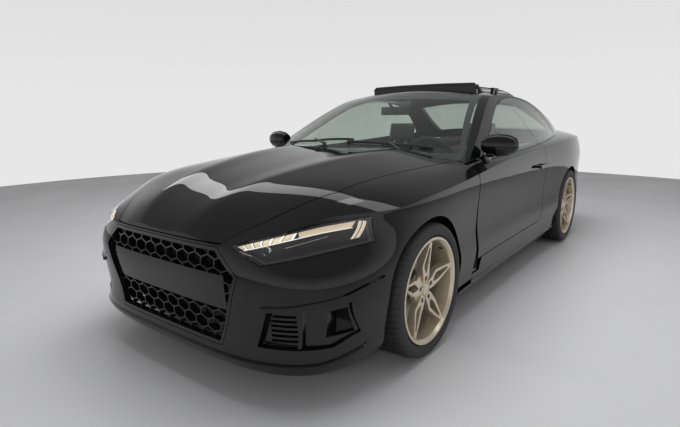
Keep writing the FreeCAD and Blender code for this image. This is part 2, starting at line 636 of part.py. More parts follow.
def front_axle():
    y = FRONT_AXLE_Y
    beam = rounded(box(-400, 400, y - 90, y + 90, 196, 262), 14)
    for x0 in (-1, 1):
        plan = [(x0 * 380, y - 30), (x0 * 380, y + 60), (x0 * STEER_X, y + 24), (x0 * STEER_X, y - 24)]
        lower = prism_z(plan, 214, 236)
        eye = cylinder(24, (x0 * STEER_X, y, 214), (x0 * STEER_X, y, 236))
        bore = cylinder(KING_PIN_RADIUS + 0.08, (x0 * STEER_X, y, 210), (x0 * STEER_X, y, 240))
        lower = lower.fuse(eye).cut(bore)
        link = cylinder(11, (x0 * 390, y + 82, 255), (x0 * 430, y + 82, 256))
        strut = cylinder(24, (x0 * 572, y, 226), (x0 * 540, y, 700))
        inner_x, outer_x = sorted((x0 * 454, x0 * 600))
        spring_seat = box(inner_x, outer_x, y - 60, y + 60, 698, 716)
        beam = beam.fuse([lower, link, strut, spring_seat])
    return beam


def rear_axle():
    y = REAR_AXLE_Y
    frame = rounded(box(-360, 360, y - 60, y + 60, 250, 320), 14)
    frame = frame.fuse(rounded(box(-130, 130, y - 150, y + 130, 236, 400), 30))
    for side in (-1, 1):
        plan = [(side * 340, y - 50), (side * 340, y + 50), (side * 690, y + 26), (side * 690, y - 26)]
        arm = prism_z(plan, 262, 292)
        shaft = cylinder(16, (side * 110, y, 318), (side * 700, y, HUB_Z))
        frame = frame.fuse([arm, shaft])
    hub = carrier(y, 60)
    return frame.fuse([hub, mirrored(hub)])


def floor_pan():
    floor = box(-644, 644, -958, 1000, 166, 188)
    tunnel = prism_y([(-150, 166), (-120, 330), (-90, 352), (90, 352), (120, 330), (150, 166)], -955, 1000)
    bore = prism_y([(-134, 100), (-106, 320), (-82, 338), (82, 338), (106, 320), (134, 100)], -956, 1100)
    kick_up = [(1000, 166), (1000, 188), (1060, 440), (1544, 440), (1544, 420), (1076, 420), (1020, 166)]
    step = prism_x(kick_up, -600, 600)
    rails = [box(x, x + 60, -955, 1000, 140, 166) for x in (-480, 420)]
    return floor.fuse([tunnel, step]).cut(bore).fuse(rails)


def sill(skin, clear):
    """Left sill: the outer skin under the door, a closed box behind it and two lifting pads."""
    outline = [(644, 166), (644, 330), (780, 330), (858, 326), (858, 200), (800, 170), (700, 160)]
    beam = prism_y(outline, -1062, 868)
    pads = [box(700, 760, y, y + 60, JACK_Z, 170) for y in JACK_START_Y]
    behind_wing = slab(beam.common(clear), 600, 1000, -1062, DOOR_FRONT_Y, 100, 400)
    under_door = slab(beam, 600, 1000, DOOR_FRONT_Y, 868, 100, 400).common(skin)
    return behind_wing.fuse([under_door] + pads)


def front_structure():
    wall = box(-644, 644, -985, -958, 166, 880)
    rails = []
    for side in (-1, 1):
        x0, x1 = sorted((side * 384, side * 448))
        rails.append(box(x0, x1, -2210, -958, 400, 480))
        x0, x1 = sorted((side * 436, side * 450))
        rails.append(box(x0, x1, -1900, -960, 470, 790))
    cross = box(-448, 448, -2236, -2196, 330, 500)
    support = box(-430, 430, -2236, -2206, 560, 640).fuse(box(-430, -390, -2236, -2206, 480, 600))
    support = support.fuse(box(390, 430, -2236, -2206, 480, 600))
    radiator = box(-350, 350, -2212, -2160, 200, 620)
    return wall.fuse(rails).fuse([cross, support, radiator])


def arch_liner(y, inner_x, outer_x):
    ring = wheel_cylinder(WELL_RADIUS + 8, y, inner_x, outer_x)
    ring = ring.cut(wheel_cylinder(WELL_RADIUS, y, inner_x - 5, 1100))
    return ring.common(box(inner_x, outer_x, y - 500, y + 500, HUB_Z - 60, 900))


def rear_panel():
    boot = box(-560, 560, 1560, 2210, 330, 350)
    ramp = box(-560, 560, 1548, 1566, 330, 440)
    wall = box(-560, 560, 2210, 2236, 318, 700)
    shelf = prism_x([(1366, 864), (1366, 888), (1815, 940), (1815, 918)], -560, 560)
    side_view = [(1400, 442), (1400, 872), (1815, 922), (2210, 880), (2210, 330), (1548, 330), (1548, 442)]
    board = prism_x(side_view, 546, 560)
    return boot.fuse([ramp, wall, shelf, board, mirrored(board)])


def seat(x, y, width, rise):
    """One seat: cushion, leaning back and headrest."""
    half = width / 2
    cushion = rounded(box(x - half, x + half, y - 260, y + 240, rise, rise + 130), 45)
    back = rounded(box(x - half + 15, x + half - 15, y + 195, y + 315, rise + 70, rise + 620), 45)
    back.rotate(V(x, y + 240, rise + 100), V(1, 0, 0), -20)
    head = rounded(box(x - 125, x + 125, y + 440, y + 540, rise + 630, rise + 800), 40)
    posts = [cylinder(8, (px, y + 425, rise + 540), (px, y + 485, rise + 660)) for px in (x - 60, x + 60)]
    base = box(x - half + 60, x + half - 60, y - 200, y + 200, 188, rise + 40)
    return cushion.fuse([back, head, base] + posts)


def rear_seat():
    bench = rounded(box(-560, 560, 690, 1150, 440, 550), 40)
    bench = bench.fuse(box(-540, 540, 760, 1040, 442, 470))
    back = rounded(box(-560, 560, 1130, 1220, 480, 850), 40)
    back.rotate(V(0, 1150, 500), V(1, 0, 0), -18)
    heads = [rounded(box(x - 120, x + 120, 1262, 1340, 812, 925), 30) for x in (-290, 290)]
    return bench.fuse([back] + heads)


def dashboard():
    outline = [
        (-955, 560), (-955, 868), (-880, 905), (-760, 898), (-640, 842), (-600, 790),
        (-620, 700), (-700, 560),
    ]
    top = prism_x(outline, -688, 688)
    side_view = [(-700, 353), (-700, 600), (-560, 560), (-200, 520), (350, 510), (350, 353)]
    console = prism_x(side_view, -105, 105)
    return top.fuse(console).cut(steering_column(STEERING_COLUMN_RADIUS + 2))


def steering_column(radius):
    column = Part.makeCylinder(radius, 190, V(0, 0, -210))
    column.rotate(V(0, 0, 0), V(1, 0, 0), -STEERING_TILT)
    return column.translated(V(*STEERING_CENTRE))


def steering_wheel():
    """Three-spoked wheel on its column, tilted towards the driver."""
    rim_section = [(14 * math.cos(math.pi * k / 4), 182 + 14 * math.sin(math.pi * k / 4)) for k in range(8)]
    wheel = revolved(rim_section, (0, 0, 0))
    wheel.rotate(V(0, 0, 0), V(0, 1, 0), -90)
    hub = Part.makeCylinder(56, 46, V(0, 0, -34))
    spokes = [box(-174, 174, -18, 18, -12, 6), box(-14, 14, -174, 0, -12, 6)]
    wheel = wheel.fuse([hub] + spokes)
    wheel.rotate(V(0, 0, 0), V(1, 0, 0), -STEERING_TILT)
    return wheel.translated(V(*STEERING_CENTRE)).fuse(steering_column(STEERING_COLUMN_RADIUS))


def mirror_left():
    """Door mirror: a case lofted through oval sections, cut flat behind, its stalk and its foot."""
    sections = [(812, 44, 40), (842, 58, 58), (900, 64, 68), (960, 60, 62), (1000, 40, 42), (1014, 10, 10)]
    sides = 16
    turns = [2 * math.pi * (k % sides) / sides for k in range(sides + 1)]
    wires = []
    for x, deep, tall in sections:
        centre = V(x, -636 + (x - 812) * 0.14, 985)
        wires.append(Part.makePolygon([centre + V(0, deep * math.cos(t), tall * math.sin(t)) for t in turns]))
    case = Part.makeLoft(wires, True)
    case = case.common(box(780, 1100, -760, -592, 880, 1100))
    foot = prism_x([(-690, 880), (-640, 972), (-606, 972), (-606, 880)], 824, 856)
    arm = prism_y([(830, 905), (900, 905), (930, 935), (930, 960), (830, 950)], -680, -612)
    return case.fuse([arm, foot])


def exhaust():
    pipe = cylinder(30, (0, -900, 150), (0, 1080, 150))
    box_rear = rounded(box(-420, 420, 1700, 1960, 190, 310), 40)
    link = cylinder(30, (0, 1060, 150), (0, 1800, 215))
    tips = []
    for x in (-TIP_X, TIP_X):
        tube = cylinder(TIP_RADIUS + 5, (x, 1900, TIP_Z), (x, TIP_END_Y, TIP_Z))
        tube = tube.cut(cylinder(TIP_RADIUS, (x, TIP_END_Y - 180, TIP_Z), (x, TIP_END_Y + 2, TIP_Z)))
        feed = cylinder(26, (x * 0.6, 1830, 250), (x, 1930, TIP_Z))
        tips += [tube, feed]
    return pipe.fuse([box_rear, link] + tips)


def sunroof_glass():
    """Glass pane, slid back over the roof on four lifting legs."""
    half, _, rear_y = SUNROOF
    skin = cabin_body(0, 0).cut(cabin_body(8, 8))
    pane = slab(skin, -half - 14, half + 14, rear_y - 140, rear_y + 425, 1150, 1500)
    pane = pane.translated(V(0, 0, 40))
    legs = [
        box(min(x, x * 1.05), max(x, x * 1.05), y, y + 40, 1305, 1378)
        for x in (-half / 1.05, half / 1.05) for y in (rear_y - 120, rear_y - 42)
    ]
    return pane.fuse(legs)


def sunroof_deflector():
    """Wind deflector that stands up at the front of the opening: a bar on two arms, with its net below."""
    half, front_y, _ = SUNROOF
    bow = [
        (-half, 1374), (-half + 26, 1402), (-180, 1408), (180, 1408), (half - 26, 1402), (half, 1374),
        (half - 16, 1374), (half - 34, 1390), (180, 1396), (-180, 1396),
        (-half + 34, 1390), (-half + 16, 1374),
    ]
    bar = prism_y(bow, front_y + 4, front_y + 24)
    mesh = [
        (-half + 4, 1318), (-half + 4, 1376), (-half + 28, 1396), (half - 28, 1396), (half - 4, 1376),
        (half - 4, 1318),
    ]
    net = prism_y(mesh, front_y + 10, front_y + 13)
    side_view = [
        (front_y + 4, 1376), (front_y + 24, 1390), (front_y + 150, 1330), (front_y + 120, 1312),
    ]
    arm = prism_x(side_view, half - 14, half)
    return bar.fuse([net, arm, mirrored(arm)])


def honeycomb():
    """The grille's open cells as prisms, inside its frame and off the blank panel."""
    half, low, high = BLANK_PANEL
    zone = prism_y(offset(GRILLE, -GAP - GRILLE_FRAME), -2500, -2200)
    zone = zone.cut(box(-half, half, -2500, -2200, low, high))
    wide, tall = (CELL_WIDTH - CELL_WALL) / 2, CELL_HEIGHT / 2 - CELL_WALL * 0.55
    cells = []
    for row in range(-8, 3):
        z = CELL_ROW_Z + row * CELL_HEIGHT * 0.75
        for column in range(-7, 8):
            x = (column + 0.5 * (row % 2)) * CELL_WIDTH
            outline = [
                (x, z + tall), (x + wide, z + tall / 2), (x + wide, z - tall / 2), (x, z - tall),
                (x - wide, z - tall / 2), (x - wide, z + tall / 2),
            ]
            cells.append(prism_y(outline, -2500, -2200))
    clipped = Part.makeCompound(cells).common(zone)
    return [cell for cell in clipped.Solids if cell.Volume > SMALLEST_CELL * 300]


def grille(skin):
    """Honeycomb plate set back in a flush frame."""
    opening = prism_y(offset(GRILLE, -GAP - GRILLE_FRAME), -2500, -2200)
    plate = skin.translated(V(0, GRILLE_RECESS, 0)).common(opening)
    return plate.cut(Part.makeCompound(honeycomb())).fuse(skin.cut(opening))


def headlamp(block):
    """Left lens and what stands behind it: an open bowl, an angled light strip and a round lamp."""
    lens = block.cut(block.translated(V(-5, 6, -2)))
    behind = block.common(block.translated(V(-12, 14.4, -4.8)))
    hollow = prism_y(offset(LAMP_FRONT, -7), -2450, -1800).common(prism_z(offset(LAMP_PLAN, -8), 500, 900))
    bowl = behind.cut(hollow)
    strip = behind.cut(block.translated(V(-24, 26, -5))).common(prism_y(LIGHT_STRIP, -2450, -1800))
    x, z, radius = PROJECTOR
    round_lamp = cylinder(radius, (x, -2300, z), (x, -2050, z))
    round_lamp = round_lamp.common(behind).common(behind.translated(V(-14, 16, 0)))
    return lens, bowl.fuse([strip, round_lamp])


def bumper_grille(skin):
    """Left corner intake: a slotted plate set back in the bumper, with an upright vane and an air slot."""
    x0, x1, z0, z1 = INTAKE_SLOTS
    plate = skin.translated(V(0, 34, 0))
    slots = [box(x0, x1, -2500, -1900, z, z + 11) for z in range(int(z0), int(z1), 21)]
    plate = plate.cut(Part.makeCompound(slots + [prism_y(AIR_CURTAIN, -2500, -1900)]))
    upright = prism_y([(702, 250), (716, 450), (728, 450), (714, 250)], -2500, -1900)
    vane = skin.translated(V(0, 12, 0)).common(upright)
    return plate.fuse(vane).cut(wheel_cylinder(WELL_RADIUS + 12, FRONT_AXLE_Y, 400, 1100))


if __name__ == "__main__":
    os.makedirs("parts", exist_ok=True)
    panels = body_panels()
    for name in ("bonnet", "boot_lid", "front_bumper", "rear_bumper", "front_fenders", "tail_lamps"):
        save(name, panels[name])
    save("windscreen", panels["windscreen"])
    save("rear_window", panels["rear_window"])
    save("quarter_windows", both_sides(panels["quarter"]))

    clear = panels["clear"]
    hinge_pillar = box(700, 736, -985, -897, 166, 868)
    lock_pillar = box(600, 672, 470, 560, 330, 900)
    side_trim = box(655, 672, 500, 900, 330, 900)
    well_wall = wheel_cylinder(WELL_RADIUS + 8, REAR_AXLE_Y, 604, 612)
    well_wall = well_wall.common(box(600, 620, 800, 1800, HUB_Z - 60, 900))
    well_wall = well_wall.cut(box(590, 630, REAR_AXLE_Y - 70, REAR_AXLE_Y + 70, 200, 400))
    liner = arch_liner(REAR_AXLE_Y, 612, 900).common(panels["outer"])
    left_frame = panels["side_frame"].fuse([
        sill(panels["outer"], clear), panels["skirt"], liner, hinge_pillar, lock_pillar, side_trim, well_wall,
    ])
    left_frame = left_frame.cut(prism_x(offset(REAR_JOINT, GAP), 500, 1100).cut(clear))
    save("side_frame_left", left_frame)
    save("side_frame_right", mirrored(left_frame))
    save("roof", panels["roof"])

    liner = arch_liner(FRONT_AXLE_Y, 450, 900)
    front = front_structure().fuse([liner, mirrored(liner)]).common(clear)
    save("front_structure", front.fuse(panels["cowl"]))
    save("floor_pan", floor_pan())
    save("rear_panel", rear_panel().common(clear))

    lens, housing = headlamp(panels["lamp"])
    save("headlamps", both_sides(lens))
    save("headlamp_housings", both_sides(housing))
    save("grille", grille(panels["grille_skin"]))
    intake = bumper_grille(panels["intake_skin"]).cut(panels["front_bumper"])
    save("bumper_grilles", both_sides(intake))

    save("door_left", panels["door"])
    save("door_right", mirrored(panels["door"]))
    save("door_glass_left", panels["door_glass"])
    save("door_glass_right", mirrored(panels["door_glass"]))
    mirror = mirror_left().cut(panels["door"]).cut(panels["door_glass"])
    save("mirror_left", mirror)
    save("mirror_right", mirrored(mirror))

    save("engine", rounded(box(-340, 340, -1950, -1340, 290, 760), 30))
    save("front_axle", front_axle())
    save("rear_axle", rear_axle())
    save("exhaust", exhaust())
    king_pin = cylinder(KING_PIN_RADIUS, (STEER_X, FRONT_AXLE_Y, 208), (STEER_X, FRONT_AXLE_Y, HUB_Z - 30))
    knuckle = carrier(FRONT_AXLE_Y, 90).fuse(king_pin)
    save("knuckle_left", knuckle)
    save("knuckle_right", mirrored(knuckle))

    save("dashboard", dashboard().common(clear.translated(V(0, 0, -20))))
    save("steering_wheel", steering_wheel())
    save("front_seats", both_sides(seat(370, -60, 500, 300)))
    save("rear_seat", rear_seat())
    save("sunroof_glass", sunroof_glass())
    save("sunroof_deflector", sunroof_deflector())

    for axle, y in (("front", FRONT_AXLE_Y), ("rear", REAR_AXLE_Y)):
        for side, outwards in (("left", 1), ("right", -1)):
            x = WHEEL_X * outwards
            save("rim_" + axle + "_" + side, rim(x, y, outwards))
            save("tyre_" + axle + "_" + side, tyre(x, y))
            save("brake_disc_" + axle + "_" + side, brake_disc(x, y, outwards))
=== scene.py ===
# %% [markdown]
# # A gloss-black two-door coupe
# The construction of this car comes from its solid model: every panel, wheel, seat and lamp is already at
# its real size and place. This notebook gives it its looks. We first set up the camera and a plain studio,
# then work through the car from the large painted panels to the wheels, lamps, grille, glass and cabin.

# %% Load the solid model
import bpy
import bmesh
import json
import math
import numpy as np
from mathutils import Matrix, Vector
from mathutils.bvhtree import BVHTree
from mathutils.kdtree import KDTree


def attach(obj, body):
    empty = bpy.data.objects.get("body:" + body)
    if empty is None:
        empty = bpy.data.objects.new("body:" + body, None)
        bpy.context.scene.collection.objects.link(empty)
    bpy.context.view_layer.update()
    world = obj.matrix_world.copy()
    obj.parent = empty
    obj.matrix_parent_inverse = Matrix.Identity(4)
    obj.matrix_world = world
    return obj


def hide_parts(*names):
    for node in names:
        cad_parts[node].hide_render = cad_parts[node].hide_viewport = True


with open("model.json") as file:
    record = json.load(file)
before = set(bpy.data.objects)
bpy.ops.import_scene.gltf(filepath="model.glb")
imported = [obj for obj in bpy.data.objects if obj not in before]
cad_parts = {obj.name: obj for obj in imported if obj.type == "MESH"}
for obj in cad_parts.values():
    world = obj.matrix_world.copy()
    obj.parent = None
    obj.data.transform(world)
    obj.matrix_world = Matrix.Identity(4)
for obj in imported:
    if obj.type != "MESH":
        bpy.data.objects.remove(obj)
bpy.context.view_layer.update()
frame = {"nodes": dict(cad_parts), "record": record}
nodes = frame["nodes"]
bodies = frame["record"]["behaviour"]["bodies"]
body_of_node = {name: body for body, members in bodies.items() for name in members}
SIDES = (("left", 1), ("right", -1))


def added(name, data):
    """A new object in the scene, at the origin."""
    thing = bpy.data.objects.new(name, data)
    bpy.context.scene.collection.objects.link(thing)
    return thing


# %% [markdown]
# ## The camera
# The photograph was taken with a wide lens, close to the front left corner. Wide lenses stretch what is
# near, so the front wheel looks much larger than the rear one. The camera stands 1.16 m above the floor,
# turned 37 degrees from the car's length and tipped 11 degrees down. With these numbers the wheels, the
# roof and the grille fall where the photograph has them.

# %% Place the camera
CAMERA_PLACE = Vector((1.8959, -3.4873, 1.1574))
CAMERA_YAW = math.radians(-37.392)
CAMERA_PITCH = math.radians(-11.349)
CAMERA_ROLL = math.radians(-0.577)
SENSOR_MM = 36.0
LENS_MM = 25.44


def camera_turn(yaw, pitch, roll):
    """Rotation of a camera that looks along +Y at yaw 0."""
    forward = Vector((math.cos(pitch) * math.sin(yaw), math.cos(pitch) * math.cos(yaw), math.sin(pitch)))
    right = Vector((math.cos(yaw), -math.sin(yaw), 0))
    up = right.cross(forward)
    right_rolled = math.cos(roll) * right + math.sin(roll) * up
    up_rolled = -math.sin(roll) * right + math.cos(roll) * up
    return Matrix((right_rolled, up_rolled, -forward)).transposed()


camera_data = bpy.data.cameras.new("camera")
camera_data.sensor_width = SENSOR_MM
camera_data.lens = LENS_MM
camera = added("camera", camera_data)
turn = camera_turn(CAMERA_YAW, CAMERA_PITCH, CAMERA_ROLL)
camera.matrix_world = Matrix.Translation(CAMERA_PLACE) @ turn.to_4x4()
bpy.context.scene.camera = camera
bpy.context.scene.view_settings.view_transform = "Standard"
print("camera at", camera.location, "lens", camera_data.lens)

# %% [markdown]
# ## Node trees in one line each
# Finishes, the studio's light and the repeated shapes are all node trees. Written out, a tree is mostly the
# same three lines again: make a node, fill an input, link a socket. One helper does all three, so that the
# trees below read as what they compute.

# %% Nodes, their values and their links
WHITE = (1, 1, 1, 1)


def node(tree, kind, inputs=None, **settings):
    """A new node's outputs, after its settings are made and its inputs filled or linked to a socket."""
    made = tree.nodes.new(kind)
    for name, value in settings.items():
        setattr(made, name, value)
    for name, value in (inputs or {}).items():
        if isinstance(value, bpy.types.NodeSocket):
            tree.links.new(value, made.inputs[name])
        else:
            made.inputs[name].default_value = value
    return made.outputs


def new_material(name):
    """An empty node material and its tree."""
    material = bpy.data.materials.new(name)
    material.use_nodes = True
    material.node_tree.nodes.clear()
    return material, material.node_tree


def noise(tree, scale, detail):
    """Uneven values on the object's own coordinates."""
    place = node(tree, "ShaderNodeTexCoord")["Object"]
    return node(tree, "ShaderNodeTexNoise", {"Scale": scale, "Detail": detail, "Vector": place})["Fac"]


def remapped(tree, socket, low, high, from_low=0.3, from_high=0.7):
    """A socket's values spread between low and high."""
    ends = {"From Min": from_low, "From Max": from_high, "To Min": low, "To Max": high}
    return node(tree, "ShaderNodeMapRange", {"Value": socket, **ends})["Result"]


def mixed(tree, share, first, second):
    """One shader where share is 0 and another where it is 1."""
    return node(tree, "ShaderNodeMixShader", {0: share, 1: first, 2: second})["Shader"]


def mesh_of(bm, name):
    """A new mesh from an edited one, which is let go."""
    mesh = bpy.data.meshes.new(name)
    bm.to_mesh(mesh)
    bm.free()
    return mesh


print("node tools ready")

# %% [markdown]
# ## The studio
# Black paint shows nothing of its own colour: what we see is the room in it. So the studio matters more
# here than for a pale object. A pale floor and pale walls give the soft grey sheen, and two long ceiling
# lamps draw the broad bright fields that describe the bonnet and the shoulders.

# %% Build the floor and the backdrop
FLOOR_COLOUR = (0.36, 0.36, 0.37, 1)
FLOOR_ROUGHNESS = (0.38, 0.52)
FLOOR_BLOTCHES = 1.3
FLOOR_RADIUS = 7.4
FLOOR_CENTRE_X = -0.7
WALL_FOOT = 0.02
WALL_BRIGHTNESS = 0.80
WALL_TOP_BRIGHTNESS = 0.62
REFLECTED_CEILING = 0.26
WALL_ENDS, CEILING_STARTS = 0.6, 0.45
ROOM_LIGHT = 0.55


def build_floor():
    """A round floor that ends where the studio's wall begins, with soft blotches like poured concrete."""
    bm = bmesh.new()
    bmesh.ops.create_circle(bm, cap_ends=True, radius=FLOOR_RADIUS, segments=128)
    bmesh.ops.translate(bm, vec=(FLOOR_CENTRE_X, 0, 0), verts=bm.verts)
    floor = added("floor", mesh_of(bm, "floor"))
    material, tree = new_material("floor_finish")
    rough = remapped(tree, noise(tree, FLOOR_BLOTCHES, 6), *FLOOR_ROUGHNESS)
    surface = node(tree, "ShaderNodeBsdfPrincipled", {"Base Color": FLOOR_COLOUR, "Roughness": rough})["BSDF"]
    node(tree, "ShaderNodeOutputMaterial", {"Surface": surface})
    floor.data.materials.append(material)


def build_world():
    """Even room light, a pale wall for the camera, and the same wall under a dark ceiling in reflections."""
    world = bpy.data.worlds.new("studio")
    bpy.context.scene.world = world
    world.use_nodes = True
    tree = world.node_tree
    tree.nodes.clear()
    direction = node(tree, "ShaderNodeTexCoord")["Generated"]
    height = node(tree, "ShaderNodeSeparateXYZ", {"Vector": direction})["Z"]
    ray = node(tree, "ShaderNodeLightPath")

    def glow(strength):
        return node(tree, "ShaderNodeBackground", {"Color": WHITE, "Strength": strength})["Background"]

    def wall(high, top):
        """A background that fades from the wall's brightness to another one overhead."""
        return glow(remapped(tree, height, WALL_BRIGHTNESS, high, WALL_FOOT, top))

    rays_seen = {0: ray["Is Camera Ray"], 1: ray["Is Transmission Ray"]}
    seen = node(tree, "ShaderNodeMath", rays_seen, operation="MAXIMUM")["Value"]
    mirrored = mixed(tree, ray["Is Glossy Ray"], glow(ROOM_LIGHT), wall(REFLECTED_CEILING, CEILING_STARTS))
    surface = mixed(tree, seen, mirrored, wall(WALL_TOP_BRIGHTNESS, WALL_ENDS))
    node(tree, "ShaderNodeOutputWorld", {"Surface": surface})


build_floor()
build_world()
print("floor and walls ready")

# %% Hang the lamps
# Each lamp: its place, the point it faces, its width and length in metres, its watts, and whether gloss
# shows it
LAMPS = {
    "ceiling_left": ((2.3, 0.0, 3.8), (0.3, 0.0, 0), 0.9, 6.0, 30, True),
    "ceiling_right": ((-2.3, 0.0, 3.8), (-0.3, 0.0, 0), 0.9, 6.0, 30, True),
    "ceiling_middle": ((0.0, 1.2, 4.0), (0, 1.2, 0), 2.4, 0.2, 45, False),
    "ceiling_wide": ((0.0, -0.8, 4.2), (0, -0.8, 0), 3.2, 4.0, 210, False),
    "front_soft": ((3.4, -5.6, 2.6), (0.4, -1.5, 0.4), 2.6, 0.25, 60, False),
}
for name, (place, aim, wide, long, power, in_gloss) in LAMPS.items():
    data = bpy.data.lights.new(name, "AREA")
    data.shape = "RECTANGLE"
    data.size = wide
    data.size_y = long
    data.energy = power
    lamp = added(name, data)
    lamp.location = place
    lamp.rotation_euler = (Vector(aim) - Vector(place)).to_track_quat("-Z", "Y").to_euler()
    lamp.visible_glossy = in_gloss
print("lamps:", len(LAMPS))

# %% [markdown]
# ## The body's own curves
# A gloss panel shows every flat facet of a solid's mesh, because its reflections break at each one. The
# cure is to know the true surface. The body is drawn with four smooth surfaces, each pulled towards a grid
# of control points: one round the sides, one over the bonnet and the shoulders, one over the windscreen and
# roof, and one for the side windows. We write the same control points here, in millimetres. Later cells use
# them to place extra vertices exactly on the curve and to give every corner its true direction.

# %% Control points of the side surface
MM = 0.001
FRONT_AXLE_Y = -1478.5
REAR_AXLE_Y = 1285.5
WHEEL_X = 786.0
TYRE_RADIUS = 333.0
BELT_Z = 930.0
PLAN_OUTLINE = [
    (0, -2349), (240, -2349), (470, -2337), (652, -2285), (788, -2175), (870, -1985),
    (902, -1760), (911, -1480), (905, -1200), (896, -900), (891, -500), (889, 0),
    (892, 500), (903, 900), (912, 1290), (900, 1620), (868, 1900), (795, 2120),
    (650, 2260), (450, 2325), (230, 2349), (0, 2349),
]
# Height of each row, with its inward step at the nose, under the lamps, along the flank and at the tail
SIDE_ROWS = [
    (130, 75, -20, 78, 120), (185, 12, -25, 22, 80), (250, 22, -10, 22, 45), (330, 24, 0, 5, 20),
    (405, 14, 0, -5, 6), (480, 3, 0, 6, 0), (560, 0, 6, 9, 2), (640, 12, 105, 5, 14), (710, 38, 178, -1, 40),
    (780, 85, 190, -7, 50), (850, 150, 170, 4, 46), (930, 230, 90, 30, 30), (1060, 340, 40, 80, 5),
]
FLARE_HEIGHT_Z = 600.0
FLARE_OUT = 13.0
RAISED = 12.0
LAMP_Y = -2100.0


def bump(distance, width):
    return math.exp(-((distance / width) ** 2))


def outline_normals(points):
    """Outward direction of the plan outline at each control point."""
    found = [(0.0, -1.0)]
    for before, after in zip(points, points[2:]):
        dx, dy = after[0] - before[0], after[1] - before[1]
        size = math.hypot(dx, dy)
        found.append((dy / size, -dx / size))
    return found + [(0.0, 1.0)]


def side_poles(raised=0.0):
    """Control points round the whole body, in metres, moved outwards by raised millimetres."""
    half = []
    for (x, y), (nx, ny) in zip(PLAN_OUTLINE, outline_normals(PLAN_OUTLINE)):
        nose = ny * ny if ny < 0 else 0.0
        tail = ny * ny if ny > 0 else 0.0
        flank = nx * nx
        lamp = bump(y - LAMP_Y, 165) * min(1, x / 600) ** 2
        column = []
        for z, at_nose, at_lamp, at_flank, at_tail in SIDE_ROWS:
            step = nose * at_nose + lamp * at_lamp + flank * at_flank + tail * at_tail - raised
            flare = FLARE_OUT * bump(z - FLARE_HEIGHT_Z, 190) * flank
            flare *= bump(y - FRONT_AXLE_Y, 330) + bump(y - REAR_AXLE_Y, 350)
            out = flare - step
            column.append((max(0.0, x + nx * out) if nx else 0.0, y + ny * out, z))
        half.append(column)
    right = [[(-x, y, z) for x, y, z in column] for column in reversed(half)]
    return np.array(right[:-1] + half) * MM


print("side surface:", side_poles().shape, "control points")

# %% Control points of the top surface
TOP_STATIONS = [
    -2480, -2410, -2345, -2280, -2190, -2060, -1880, -1650, -1400, -1150, -900, -650,
    -250, 200, 650, 1050, 1400, 1700, 1950, 2130, 2240, 2310, 2380, 2480,
]
CENTRE_Z = [
    (-2480, 420), (-2410, 545), (-2345, 655), (-2280, 725), (-2190, 785), (-2060, 835),
    (-1880, 878), (-1650, 915), (-1400, 944), (-1150, 962), (-900, 972), (-650, 960),
    (-250, 940), (650, 950), (1400, 1000), (1700, 1020), (1950, 1022), (2130, 1022),
    (2240, 1024), (2310, 985), (2380, 880), (2480, 700),
]
CREASE_X = [
    (-2480, 150), (-2250, 200), (-2000, 269), (-1600, 340), (-900, 440), (-600, 460), (1700, 440),
    (1950, 400), (2130, 360), (2240, 320), (2310, 250), (2380, 180), (2480, 120),
]
CREASE_RISE = [(-2345, 0), (-2190, 8), (-1880, 10), (-1400, 10), (-900, 4), (-600, 0), (2480, 0)]
SHUT_X = [
    (-2480, 250), (-2316, 375), (-2155, 500), (-1865, 650), (-1440, 695), (-930, 740), (-630, 790),
    (-250, 805), (650, 800), (1100, 775), (1500, 730), (1700, 700), (1950, 640), (2130, 580), (2240, 500),
    (2310, 400), (2380, 300), (2480, 200),
]
SHUT_Z = [
    (-2480, 430), (-2410, 540), (-2316, 663), (-2155, 750), (-1865, 862), (-1440, 890), (-930, 903),
    (-630, 915), (-250, 918), (200, 930), (650, 945), (1050, 962), (1400, 975), (1700, 985), (1950, 992),
    (2130, 996), (2240, 1000), (2310, 965), (2380, 860), (2480, 690),
]
EDGE_X = [
    (-2480, 520), (-2345, 600), (-2280, 645), (-2190, 700), (-2060, 790), (-1880, 895), (-1650, 935),
    (1500, 940), (1700, 930), (1950, 880), (2130, 815), (2240, 705), (2310, 555), (2380, 435), (2480, 335),
]
EDGE_Z = [
    (-2480, 390), (-2410, 510), (-2345, 632), (-2280, 645), (-2190, 658), (-2060, 685), (-1880, 724),
    (-1650, 786), (-1400, 796), (-1150, 798), (-900, 805), (-650, 810), (-250, 823), (200, 842), (650, 866),
    (1050, 890), (1400, 908), (1700, 915), (1950, 915), (2130, 910), (2240, 900), (2310, 860), (2380, 780),
    (2480, 640),
]


def between(points, y):
    """Straight interpolation in a list of (y, value) pairs."""
    return float(np.interp(y, [p[0] for p in points], [p[1] for p in points]))


def mirrored_row(left):
    return [(-x, y, z) for x, y, z in reversed(left[1:])] + left


def top_poles():
    """Control points over bonnet, wings, shoulders and deck, in metres."""
    rows = []
    for y in TOP_STATIONS:
        centre, crease_x = between(CENTRE_Z, y), between(CREASE_X, y)
        crease = centre + between(CREASE_RISE, y)
        shut_x, shut = between(SHUT_X, y), between(SHUT_Z, y)
        edge_x, edge = between(EDGE_X, y), between(EDGE_Z, y)
        across = [
            (0, centre), (crease_x * 0.55, centre + 1), (crease_x - 22, crease + 2),
            (crease_x + 30, crease - 5), ((crease_x + shut_x) / 2 + 10, crease * 0.45 + shut * 0.55 + 6),
            (shut_x, shut + 2),
            (shut_x * 0.5 + edge_x * 0.5, shut * 0.6 + edge * 0.4 + 8),
            (shut_x * 0.15 + edge_x * 0.85, shut * 0.18 + edge * 0.82 + 6),
            (edge_x, edge), (edge_x + 105, edge - 105),
        ]
        rows.append(mirrored_row([(x, y, z) for x, z in across]))
    return np.array(rows) * MM


print("top surface:", top_poles().shape, "control points")

